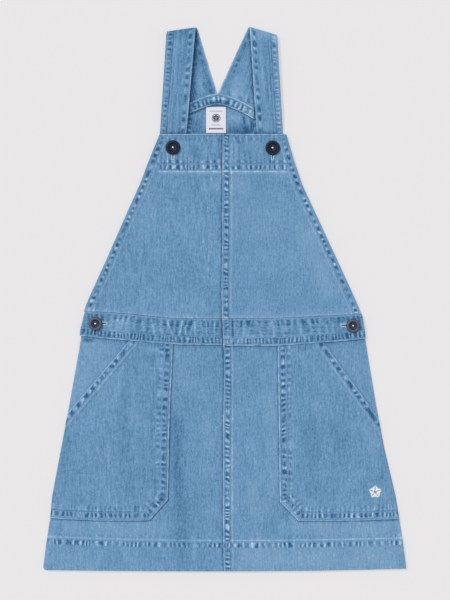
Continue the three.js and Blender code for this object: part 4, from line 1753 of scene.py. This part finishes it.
        # painted shade on the front leg where it dips behind the bib
        made.wear -= 0.8 * bell(run, self.tuck, 1.6) + 0.25 * bell(run, self.tuck + 2.0, 4.0)
        made.wear += self.outer_tone * bell(across if left else self.width - across, 5.5, 4.5)
        made.wear += self.fold_tone * bell(run, self.behind - 4.0, 6.5)
        back = smoothstep(self.behind - 2, self.behind + 2, run)
        made.drawn *= 1 - 0.7 * back
        x, y = (self.between(self.corners[:, :, axis], across, run) for axis in (0, 1))
        for shade in self.shades:
            made.add(shade.relief(x, y), back)
        return made

    def place(self, across: Array, run: Array, face: float, lift: Array) -> tuple[Array, Array]:
        """Find points on or over one face of the strap.

        Args:
            across: Distances from the left edge.
            run: Distances along the strap.
            face: 1 for its right side, -1 for its wrong side.
            lift: How far out of that face.

        Returns:
            The points, and the way that face looks there.
        """
        up = np.stack([np.interp(run, self.runs, self.normals[:, axis]) for axis in range(3)], -1)
        up = face * up / np.linalg.norm(up, axis=-1)[..., None]
        middle = np.stack([self.between(self.corners[:, :, axis], across, run) for axis in range(3)], -1)
        return middle + up * (self.wall / 2 + lift)[..., None], up

    def build(self) -> None:
        """Build the strap and its stitching."""
        across, run = np.meshgrid(self.columns(), self.runs)
        relief = self.relief(across, run)
        away = np.minimum(across, self.width - across)
        full = np.sqrt(1 - (1 - np.clip(away / self.bend, 0, 1)) ** 2)
        full[[0, -1]] = 0
        lift = full * (self.wall / 2 + relief.height) - self.wall / 2
        cloth = np.stack([across, run, np.full(run.shape, self.pattern * self.side.value)], -1)
        shape, thread = Shape(), Shape()
        # the rows run up the dress as far as the fold, so the grid's columns run left to right
        shape.add_shell(*(self.place(across, run, face, lift)[0] for face in (1, -1)), cloth, relief)
        name = f"strap_{self.side.word}"
        piece = shape.build(f"{name}_cloth", self.materials[Finish.DENIM], "denim", name)
        starts = np.arange(1.0, self.runs[-1] - 3, STEP)
        near, far = self.edges()
        for row in (*near.rows, *(self.width - r for r in far.rows)):
            line = np.full(starts.shape, row)
            for face in (1, -1):
                placed = [
                    self.place(line, run, face, self.relief(line, run).height)
                    for run in (starts, starts + STITCH)
                ]
                thread.add_stitches(*(points for points, _ in placed), placed[-1][1], THREAD)
        thread.build(f"{name}_stitching", self.materials[Finish.THREAD], "denim")


# Where each strap lies and how it is toned, in the order of its fields.
STRAPS = {
    Side.LEFT: (
        ((-77.4, 155.0), (-47.2, 155.0)),
        ((-67.8, 310.8), (-34.0, 315.6)),
        ((-42.0, 223.5), (-8.5, 237.6)),
        2.6,
        -0.4,
        -0.16,
        # the lines along the front leg's inner edge, here and among the uneven ones, are its painted shadow
        # on the leg behind
        toned(
            (-46.4, 165, -34, 315.6, 8, -0.25, 0),
            (-30, 262, -26, 236, 5, 0.2, 0.3),
            (-37, 244, -38.6, 226, 4, -0.6, 0.3),
            (-27, 251, -10, 239, 6, -0.3, 0.15),
        )
        + toned((-43.6, 165, -32, 311, 3.2, -0.7, 0), (-36, 304, -12, 236, 4, -0.22, 0.1), uneven=0.3),
    ),
    Side.RIGHT: (
        ((39.9, 155.0), (70.0, 155.0)),
        ((30.1, 316.2), (62.1, 306.7)),
        ((-8.1, 237.6), (35.6, 219.5)),
        -2.9,
        0.3,
        0.08,
        # the first two are the front leg's painted shadow on the leg behind
        toned(
            (39.3, 165, 30.1, 316.2, 5, -0.15, 0),
            (38.9, 165, 29.7, 316.2, 1.9, -0.9, 0),
            (10, 262, 20, 240, 8, 0.25, 0.3),
            (6, 240, 30, 229.5, 6.5, 0.45, 0.1),
            (5, 243, 6.2, 235, 1.4, -0.8, 0.3),
            (17.6, 237, 19.8, 228, 1.5, -0.9, 0.3),
            (23, 230.5, 21.4, 225, 1.2, -0.8, 0.3),
            (28.8, 236, 27.2, 225, 1.3, -0.8, 0.3),
        )
        + toned((26, 302, -4, 240, 4, -0.3, 0.1), uneven=0.3),
    ),
}


# ---- Back and neckline ------------------------------------------------------------------------


@dataclass
class Back:
    """The back bodice, waistband and skirt, lying under the front."""

    lay: Lay
    materials: Materials
    neckline: Neckline
    inset: float = 0.8
    lift: float = 1.0
    hem: Sewn = Sewn(turned=35, rows=(35,), zones=((27.5, 32, 1, 0),), pitch=9)
    bodice_hem: Sewn = Sewn(rows=(1.8, 8), zones=((2.4, 7.6, 0.6, -0.1),), pitch=7)
    # shadows and folds below the neckline, in the gap between the straps
    shades: tuple[Crease, ...] = (
        *toned((21, 214, 24, 202, 1.5, -0.9, 0.3), (31.2, 210, 32.8, 194, 1.7, -0.9, 0.2), uneven=0.3),
        Crease(Edge.through(26.2, 213, 29.6, 199), 1.5, 0.5, height=0.2),
        *toned(
            (23, 202, 27.5, 192, 3.4, -0.6, 0.2),
            (3, 213.5, 20, 208, 5, 0.35, 0.2),
            (2, 197, 34, 197, 6, -0.45, 0.1),
            (-32, 211, -34, 192, 6, -0.45, 0.2),
            (-40, 218, -43, 190, 3.4, -0.7, 0.1),
            (-45, 194, 40, 194, 3, -0.3, 0),
        ),
    )

    def hem_line(self, x: Array) -> Array:
        """Give the back's lower edge, drawn in a little behind the front's."""
        return self.lay.hem_y(x) + self.inset

    def panels(self) -> list[Panel]:
        """Lay out the three pieces.

        Returns:
            The bodice, the waistband and the skirt.
        """
        lay, neck = self.lay, self.neckline
        hems = {
            side: Seam(Edge((row[column], row[0]) for row in BACK), self.bodice_hem, seed)
            for side, column, seed in (("left", 1, 101), ("right", 2, 103))
        }
        bodice = Panel(
            name="back_bodice",
            left=lambda y: read(BACK, y, 1),
            right=lambda y: read(BACK, y, 2),
            bottom=lambda x: lay.waist_top(x) + 3 * lay.gap,
            top=lambda x: neck.neck_y(np.clip(x, neck.left, neck.right)) - 1,
            base=lambda x, y: 0 * x,
            seams=hems,
            works=self.shades,
            cell=2.0,
            fine=1.4,
            seed=101,
            lively=0.0,
        )
        band = Panel(
            name="back_waistband",
            left=lambda y: read(BAND_ENDS, y, 1) + 3,
            right=lambda y: read(BAND_ENDS, y, 2) - 3,
            bottom=lay.back_waist_bottom,
            top=lay.waist_top,
            base=lambda x, y: self.lift * smoothstep(118, 136, np.abs(x)),
            # painted shade along the back waistband's lower edge, where it shows below the front's
            works=(Crease(lay.level(lay.back_waist_bottom, -165, 163), 5.0, -0.4, 0.0),),
            cell=3.0,
            seed=105,
            lively=0.0,
        )
        skirt = Panel(
            name="skirt_back",
            left=lambda y: lay.side_x(y, Side.LEFT) + self.inset,
            right=lambda y: lay.side_x(y, Side.RIGHT) - self.inset,
            bottom=self.hem_line,
            top=lambda x: lay.back_waist_bottom(x) - 2 * self.inset,
            base=lambda x, y: 0 * x,
            seams={"bottom": Seam(lay.level(self.hem_line, -211, 211), self.hem, 107)},
            cell=4.0,
            fine=2.0,
            seed=107,
            lively=0.0,
        )
        return [bodice, band, skirt]

    def build(self) -> None:
        """Build the three pieces and their stitching."""
        thread = Shape()
        for panel in self.panels():
            panel.show(self.materials[Finish.INSIDE], "denim_inside", "floor")
            panel.sew(thread)
        thread.build("back_stitching", self.materials[Finish.THREAD], "denim_inside")


@dataclass
class Neckline:
    """The strip that covers the strap ends along the back neckline, and the blank label below it.

    The neckline is highest at its middle and falls towards its left and right end. ring is where
    the woven ring's middle stands on the label, and dashes are the rows of marks woven above and
    below it, each its height, half its length and half its thickness.
    """

    materials: Materials
    middle: float = -7.5
    height: float = 238.4
    left: float = -40.4
    right: float = 34.4
    falls: Point = (10.6, 17.2)
    depth: float = 12.6
    base: float = 3.2
    edge: Sewn = Sewn(
        rows=(1.6,), lines=((2.2, 0.7, -0.35),), zones=((3.2, 9.6, 1.3, 0.1),), pitch=6.4, lean=0,
        sway=0.3, depth=0.2, crest=1,
    )
    edge_low: Sewn = Sewn(rows=(1.6,), lines=((2.2, 0.7, -0.2),), crest=0.8)
    # the dark band along the left strap's inner edge is the strap's painted shadow
    shades: tuple[Crease, ...] = (
        *toned((-20, 226.6, -6, 228.2, 7, 226.4, 2.6, -0.9, 0.15), uneven=0.3),
        *toned(
            (-20, 231.6, -6, 233, 9, 231, 1.8, 0.5, 0.2),
            (-38.6, 234, -39.6, 208, 4.6, -0.7, 0.1),
            (12, 227, 34, 213, 6, 0.25, 0.1),
            (27, 216, 34, 212, 4.5, 0.4, 0.2),
        ),
    )
    label_middle: float = -9.8
    label_width: float = 23.4
    label_ends: Point = (192.4, 223.4)
    label_base: float = 1.3
    label_rise: float = 0.5
    label_bend: Point = (214.0, 192.0)
    ring: float = 210.2
    ring_radius: float = 4.6
    dashes: Rows = ((218.2, 6.6, 0.3), (202.2, 5.4, 0.28), (198.2, 8.4, 0.5), (197.5, 8.4, 0.5))

    def neck_y(self, x: Array) -> Array:
        """Give the neckline's height."""
        end, fall = (np.where(x < self.middle, *pair) for pair in ((self.left, self.right), self.falls))
        return self.height - fall * ((x - self.middle) / (end - self.middle)) ** 1.5

    def build(self) -> None:
        """Build the strip and its stitching, then the label."""
        x = np.linspace(self.left, self.right, 16)
        upper, lower = (Edge(zip(x, self.neck_y(x) - down)) for down in (0, self.depth))
        strip = Panel(
            name="back_neck_facing",
            left=lambda y: self.left + 0 * y,
            right=lambda y: self.right + 0 * y,
            bottom=lambda x: self.neck_y(x) - self.depth,
            top=self.neck_y,
            base=lambda x, y: self.base + 0 * x,
            seams={"top": Seam(upper, self.edge, 111), "bottom": Seam(lower, self.edge_low, 113)},
            works=self.shades,
            cell=1.0,
            fine=0.9,
            grain=Grain.ACROSS,
            seed=111,
        )
        strip.show(self.materials[Finish.INSIDE], "denim_inside", "back_bodice")
        thread = Shape()
        strip.sew(thread)
        thread.build("neckline_stitching", self.materials[Finish.THREAD], "denim_inside")
        self.build_label()

    def build_label(self) -> None:
        """Build the label and the plain flower, ring and dashes woven into it."""
        middle, half = self.label_middle, self.label_width / 2
        label = Panel(
            name="neck_label",
            left=lambda y: middle - half + 0 * y,
            right=lambda y: middle + half + 0 * y,
            bottom=lambda x: self.label_ends[0] + 0 * x,
            top=lambda x: self.label_ends[1] + 0 * x,
            base=lambda x, y: self.label_base + self.label_rise * smoothstep(*self.label_bend, y) + 0 * x,
            cell=1.2,
            seed=117,
            lively=0.25,
        )
        label.show(self.materials[Finish.TAPE], "label_tape", "back_bodice")
        marks = Shape()
        Flower((middle, self.ring), petal=3.7, hub=0.5, step=0.4).sew(marks, label.surface)
        turn = np.linspace(0, TAU, 33)
        hoop = self.ring_radius * np.column_stack([np.cos(turn), np.sin(turn)]) + (middle, self.ring)
        marks.sew_on(label.surface, hoop[:-1], hoop[1:], 0.42, 0.08)
        for y, reach, width in self.dashes:
            starts = np.arange(middle - reach, middle + reach, 1.0)
            ends = (np.column_stack([starts + off, np.full(starts.shape, y)]) for off in (0.0, 0.8))
            marks.sew_on(label.surface, *ends, width, 0.08)
        marks.build("label_marks", self.materials[Finish.NAVY_THREAD], "label_tape")


@dataclass(frozen=True)
class Flower:
    """A small flower of five petals worked in satin stitch, in mm."""

    centre: Point
    petal: float
    step: float
    hub: float = 1.3

    def sew(self, thread: Shape, surface: Field) -> None:
        """Add its petals, each of stitches laid side by side from its spine outward.

        Args:
            thread: The mesh that gathers them.
            surface: The cloth's height at points.
        """
        starts, ends = [], []
        for angle in (math.pi / 2 + petal * TAU / 5 for petal in range(5)):
            way = np.array([math.cos(angle), math.sin(angle)])
            side = np.array([-way[1], way[0]])
            for along in np.arange(self.hub, self.petal, self.step):
                share = (along - self.hub) / (self.petal - self.hub)
                half = 0.44 * self.petal * math.sin(math.pi * share**0.75) + 0.3
                for sign in (-1, 1):
                    starts.append(np.array(self.centre) + way * along + side * sign * 0.08)
                    ends.append(np.array(self.centre) + way * (along + 0.5) + side * sign * half)
        thread.sew_on(surface, np.array(starts), np.array(ends), SATIN * self.step / SATIN_STEP, 0.2)


# ---- Buttons ----------------------------------------------------------------------------------


class Look(Enum):
    """The two looks of button.

    Each is the finish of the cap, the finish of the ring on it, how far in mm the ring starts from
    the bowl, and the share of the radius at which it ends.
    """

    DARK = (Finish.GUNMETAL, Finish.GUNMETAL, 0.6, 0.72)
    # the paler ring of these buttons is painted sheen
    AGED = (Finish.SMOKED, Finish.BRONZE, 0.3, 0.95)


@dataclass(frozen=True)
class Button:
    """One dished shank button, in mm."""

    name: str
    centre: Point
    radius: float
    seat: float
    ply: float
    look: Look
    height: float = 3.2
    shank: float = 2.4
    # the bowl's radius as a share of the button's
    bowl: float = 0.56

    def build(self, materials: Materials) -> None:
        """Build the dished cap, the ring round its bowl and the bright nub in its middle.

        Args:
            materials: Every material, by its finish.
        """
        rim, seat, foot, top = self.radius, self.seat, self.ply + 0.3, self.seat + self.height
        cap_finish, ring_finish, gap, share = self.look.value
        bowl = rim * self.bowl
        inner, outer = bowl + gap, rim * share
        middle = (inner + outer) / 2
        cap = (
            (0.3, foot), (self.shank, foot), (self.shank, seat), (rim - 1.2, seat),
            (rim - 0.35, seat + 0.35), (rim, seat + 1.0), (rim - 0.1, seat + 1.7), (rim - 0.5, seat + 2.4),
            (rim * 0.86, top - 0.12), (rim * 0.78, top), (bowl + 0.9, top - 0.1), (bowl + 0.4, top - 0.35),
            (bowl, top - 0.9), (bowl - 0.4, top - 1.4), (bowl - 1.2, top - 1.65), (1.6, top - 1.7),
            (0.05, top - 1.7),
        )
        ring = (
            (outer, top - 0.8), (outer - 0.05, top - 0.2), (outer - 0.4, top + 0.08), (middle, top + 0.2),
            (inner + 0.4, top + 0.12), (inner + 0.1, top - 0.05), (inner, top - 0.5), (middle, top - 0.9),
        )
        nub = ((1.35, top - 1.8), (1.3, top - 1.0), (1.1, top - 0.6), (0.7, top - 0.35), (0.05, top - 0.25))
        name = f"button_{self.name}"
        for part, profile, around, finish, slot, packed in (
            ("cap", cap, 64, cap_finish, "button_metal", [name]),
            ("ring", ring, 64, ring_finish, "button_metal", []),
            ("nub", nub, 32, Finish.STEEL, "tack_metal", []),
        ):
            shape = Shape()
            shape.add_lathe(profile, self.centre, around, ring=part == "ring")
            shape.build(f"{name}_{part}", materials[finish], slot, *packed)


@dataclass
class Buttons:
    """The four buttons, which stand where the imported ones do, each radius, seat and ply in mm."""

    materials: Materials
    bib: tuple[float, float, float] = (8.5, 5.3, 2.9)
    waist: tuple[float, float, float] = (7.9, 6.0, 2.0)

    def build(self) -> None:
        """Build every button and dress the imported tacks."""
        for place, sizes, look in (("bib", self.bib, Look.DARK), ("waist", self.waist, Look.AGED)):
            for side in Side:
                name = f"{place}_{side.word}"
                low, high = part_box(f"button_{name}")
                centre = ((low.x + high.x) / 2 / MM, (low.y + high.y) / 2 / MM)
                Button(name, centre, *sizes, look).build(self.materials)
                tack = bpy.data.objects[f"tack_{name}"]
                tack.data.materials.clear()
                tack.data.materials.append(self.materials[Finish.STEEL])


# ---- Studio -----------------------------------------------------------------------------------


@dataclass
class Studio:
    """The plain ground, the light and the camera straight above, in metres and degrees."""

    ground: str = "#eae8e9"
    matt: str = "#edebec"
    shade: float = 0.4
    reach: float = 4.0
    below: float = -0.0004
    camera_place: tuple[float, float, float] = (0.00058, -0.00104, 1.9375)
    lens: float = 100.0
    film: float = 36.0
    sky: tuple[float, float, float, float] = (0.985, 0.992, 1.0, 1.0)
    sky_strength: float = 0.62
    sun: float = 1.45
    sun_height: float = 50.0
    sun_from: float = 135.0
    sun_softness: float = 14.0

    def build(self) -> None:
        """Build the ground, the light and the camera."""
        self.build_ground()
        self.build_light()
        self.build_camera()

    def add(self, name: str, data: Any) -> bpy.types.Object:
        """Put a mesh, light or camera into the scene."""
        thing = bpy.data.objects.new(name, data)
        bpy.context.scene.collection.objects.link(thing)
        return thing

    def build_ground(self) -> None:
        """Lay a ground under the dress, mostly lit from within so that shadows on it stay faint."""
        material, tree = new_material("even_ground")
        glow = add_node(tree, "Emission", {"Color": linear(self.ground), "Strength": 1.0})
        matt = add_node(tree, "BsdfDiffuse", {"Color": linear(self.matt)})
        both = add_node(tree, "MixShader", {0: self.shade, 1: glow.outputs[0], 2: matt.outputs[0]})
        add_node(tree, "OutputMaterial", {"Surface": both.outputs[0]})
        mesh = bpy.data.meshes.new("floor")
        ways = ((-1, -1), (1, -1), (1, 1), (-1, 1))
        mesh.from_pydata([(x * self.reach, y * self.reach, self.below) for x, y in ways], [], [(0, 1, 2, 3)])
        mesh.materials.append(material)
        self.add("floor", mesh)

    def build_light(self) -> None:
        """Light the dress from all round, and more from the upper left."""
        world = bpy.data.worlds.new("studio")
        world.use_nodes = True
        world.node_tree.nodes.clear()
        sky = add_node(world.node_tree, "Background", {"Color": self.sky, "Strength": self.sky_strength})
        add_node(world.node_tree, "OutputWorld", {"Surface": sky.outputs[0]})
        bpy.context.scene.world = world
        light = bpy.data.lights.new("window", "SUN")
        light.energy = self.sun
        light.angle = math.radians(self.sun_softness)
        lamp = self.add("window", light)
        lamp.rotation_euler = (0, math.radians(90 - self.sun_height), math.radians(self.sun_from))

    def build_camera(self) -> None:
        """Hang the camera over the dress."""
        data = bpy.data.cameras.new("camera")
        data.lens = self.lens
        data.sensor_width = self.film
        camera = self.add("camera", data)
        camera.location = self.camera_place
        scene = bpy.context.scene
        scene.camera = camera
        scene.view_settings.view_transform = "Standard"
        scene.view_settings.look = "None"


def main() -> None:
    """Build the dress."""
    logging.basicConfig(level=logging.INFO, format="%(name)s %(message)s")
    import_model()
    lay = Lay.from_frame()
    materials = {finish: finish.value.material() for finish in Finish}
    neckline = Neckline(materials)
    Back(lay, materials, neckline).build()
    neckline.build()
    for side, fields in STRAPS.items():
        Strap(side, materials, *fields).build()
    for front in (Bib, Waistband, SkirtFront, Pockets):
        front(lay, materials).build()
    Buttons(materials).build()
    Studio().build()


if __name__ == "__main__":
    main()
